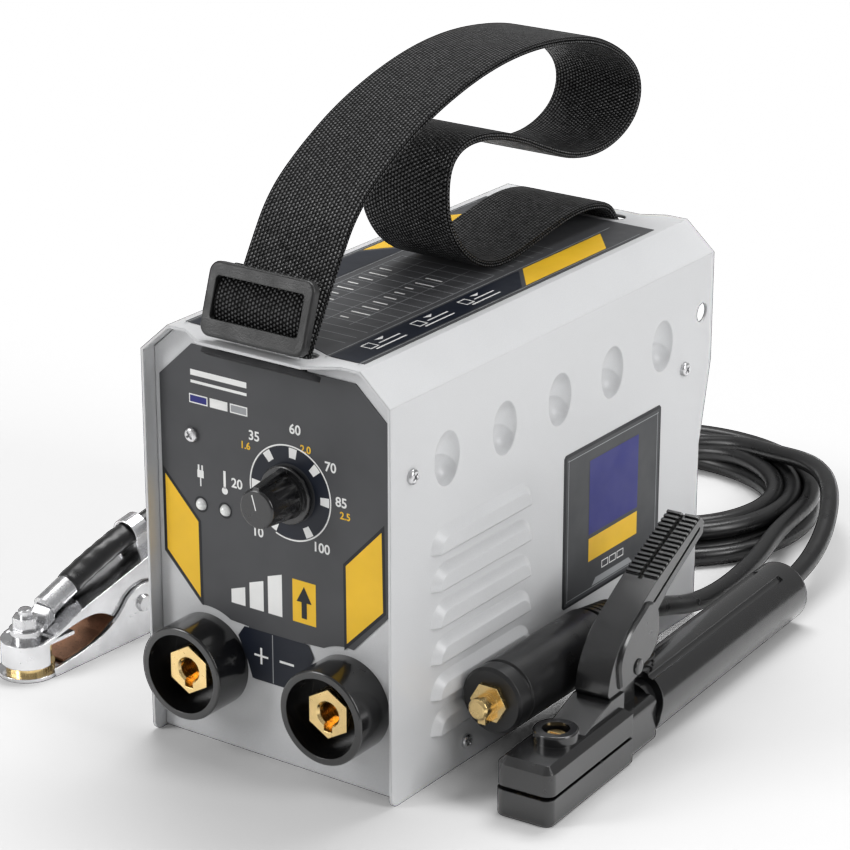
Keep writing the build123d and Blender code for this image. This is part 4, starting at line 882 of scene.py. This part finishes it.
def clip_on_sleeve():
    """The pressed steel saddle that holds the lead down on the clamp's upper jaw."""
    middle, ahead = along_path(earth_path, 42 * MM), along_path(earth_path, 46 * MM)
    along = (ahead - middle).normalized()
    across = along.cross(Vector((0, 0, 1))).normalized()
    up = across.cross(along)
    inner, outer, half, foot = 5.9, 6.9, 4.2, 8.5
    arc = [math.radians(a) for a in range(-8, 189, 14)]

    def saddle(radius):
        bow = [(radius * math.cos(a), radius * math.sin(a)) for a in arc]
        return [(radius, -foot)] + bow + [(-radius, -foot)]

    outline = saddle(outer) + saddle(inner)[::-1]
    near, far = (
        [middle + (along * shift + across * u + up * v) * MM for u, v in outline] for shift in (-half, half)
    )
    mesh = bent_plate("lead_clip", near, far)
    piece = add_piece("lead_clip", mesh, slot_look["zinc_steel"], body="clamp_jaw")
    soften = piece.modifiers.new("soften", "BEVEL")
    soften.width = 0.25 * MM
    soften.segments = 2


def lever_spring():
    """The spring between the holder's body and its lever, which squeezes it."""
    low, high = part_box("holder_spring")
    middle = (low + high) / 2
    wire, pitch, steps_per_turn = 0.6, 3.4, 16
    radius = (high.x - low.x) / 2 / MM - wire
    foot, top = low.z / MM + wire, high.z / MM - wire
    steps = round(steps_per_turn * (top - foot) / pitch)
    x, y = middle.x / MM, middle.y / MM
    turns = [math.tau * i / steps_per_turn for i in range(steps + 1)]
    route = [(x + radius * math.cos(a), y + radius * math.sin(a), foot + pitch * a / math.tau) for a in turns]
    mesh = round_tube("lever_spring", smooth_line(route, "lever_spring"), wire)
    spring = loose_piece("lever_spring", mesh, slot_look["component_black"])
    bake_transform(spring)
    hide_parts("holder_spring")


def pivot_cap():
    """The domed black cap over the lever pin's end."""
    low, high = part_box("holder_pivot_pin")
    lean = math.radians(holder_place[2])
    out = Vector((math.cos(lean), math.sin(lean), 0))
    side = Vector((-math.sin(lean), math.cos(lean), 0))
    pin_long = (high.x - low.x) / math.cos(lean)
    end = (low + high) / 2 + out * (pin_long / 2 - 0.6 * MM)
    sides = 28
    corners = []
    for radius, lift in ((3.4, 0.0), (3.4, 0.7), (2.9, 1.0), (1.6, 1.2)):
        for k in range(sides):
            a = math.tau * k / sides
            spoke = side * math.cos(a) + Vector((0, 0, math.sin(a)))
            corners.append(end + out * lift * MM + spoke * radius * MM)
    mesh = closed_rings("pivot_cap", corners, sides)
    add_piece("pivot_cap", mesh, slot_look["black_plastic"], body="lever")


def clamp_strip():
    """The copper strip that lies in the lower jaw, from its contact up towards the rivet."""
    lower = [(25, 2.3), (33, 2.7), (41, 4.2), (48, 6.8), (54, 10.2), (58, 12.6)]
    half, thick = 8.5, 0.9
    outline = lower + [(y, z + thick) for y, z in reversed(lower)]
    near, far = (
        [Vector(p) * MM for p in turned([(x, y, z) for y, z in outline], *earth_clamp)] for x in (-half, half)
    )
    mesh = bent_plate("clamp_strip", near, far)
    add_piece("clamp_strip", mesh, slot_look["copper"])


knob_index()
sleeve_on_lead()
clip_on_sleeve()
lever_spring()
pivot_cap()
clamp_strip()


# ---- studio --------------------------------------------------------------------------------
def white_paper():
    """A white floor that takes soft shadows."""
    g = Graph("paper")
    cloud = g.spread(g.noise(g.place(), 3, 2), 0.3, 0.7)
    g.feed(g.shader.inputs["Base Color"], g.blend(cloud, (0.9, 0.9, 0.9, 1), (0.93, 0.93, 0.93, 1)))
    g.shader.inputs["Roughness"].default_value = 0.9
    return g.material


floor_mesh = bpy.data.meshes.new("floor")
floor_mesh.from_pydata([(-4, -4, 0), (4, -4, 0), (4, 4, 0), (-4, 4, 0)], [], [(0, 1, 2, 3)])
floor_mesh.materials.append(white_paper())
floor = bpy.data.objects.new("floor", floor_mesh)
bpy.context.scene.collection.objects.link(floor)
floor.is_shadow_catcher = True


def softbox(name, place, aim, wide, high, power):
    """A rectangular lamp that faces a point."""
    light = bpy.data.lights.new(name, "AREA")
    light.shape = "RECTANGLE"
    light.size = wide
    light.size_y = high
    light.energy = power
    lamp = bpy.data.objects.new(name, light)
    lamp.location = place
    lamp.rotation_euler = (Vector(aim) - Vector(place)).to_track_quat("-Z", "Y").to_euler()
    bpy.context.scene.collection.objects.link(lamp)


softbox("overhead", (-0.15, 0.45, 1.25), (0, 0, 0.1), 1.0, 0.5, 13)
softbox("front_left", (-0.95, -1.2, 0.8), (0, 0, 0.08), 0.5, 0.9, 11)
softbox("right", (1.3, 0.05, 0.8), (0, 0, 0.08), 0.45, 0.9, 9)


def studio_world():
    """White for the camera; to everything else, a sky that is dimmer towards the floor."""
    world = bpy.data.worlds.new("studio")
    bpy.context.scene.world = world
    world.use_nodes = True
    tree = world.node_tree
    backdrop = tree.nodes["Background"]
    backdrop.inputs["Color"].default_value = (1, 1, 1, 1)
    backdrop.inputs["Strength"].default_value = 1.0
    ambient = tree.nodes.new("ShaderNodeBackground")
    ambient.inputs["Strength"].default_value = 0.42
    sky = tree.nodes.new("ShaderNodeTexCoord")
    split = tree.nodes.new("ShaderNodeSeparateXYZ")
    fade = tree.nodes.new("ShaderNodeMapRange")
    for socket, value in (("From Min", -0.2), ("From Max", 0.9), ("To Min", 0.55), ("To Max", 1.0)):
        fade.inputs[socket].default_value = value
    path_kind = tree.nodes.new("ShaderNodeLightPath")
    chosen = tree.nodes.new("ShaderNodeMixShader")
    for start, end in (
        (sky.outputs["Generated"], split.inputs[0]), (split.outputs["Z"], fade.inputs["Value"]),
        (fade.outputs["Result"], ambient.inputs["Color"]),
        (path_kind.outputs["Is Camera Ray"], chosen.inputs["Fac"]), (ambient.outputs[0], chosen.inputs[1]),
        (backdrop.outputs[0], chosen.inputs[2]),
        (chosen.outputs[0], tree.nodes["World Output"].inputs["Surface"])
    ):
        tree.links.new(start, end)


studio_world()

lens = bpy.data.cameras.new("camera")
lens.lens = 132.76
lens.sensor_width = 36.0
lens.clip_end = 20
camera = bpy.data.objects.new("camera", lens)
camera.location = (0.6967, -0.9953, 0.5711)
camera.rotation_euler = Vector((-0.540, 0.763, -0.355)).to_track_quat("-Z", "Y").to_euler()
bpy.context.scene.collection.objects.link(camera)
bpy.context.scene.camera = camera

scene = bpy.context.scene
scene.view_settings.view_transform = "Standard"
scene.view_settings.look = "None"
scene.cycles.use_denoising = True
scene.cycles.max_bounces = 8
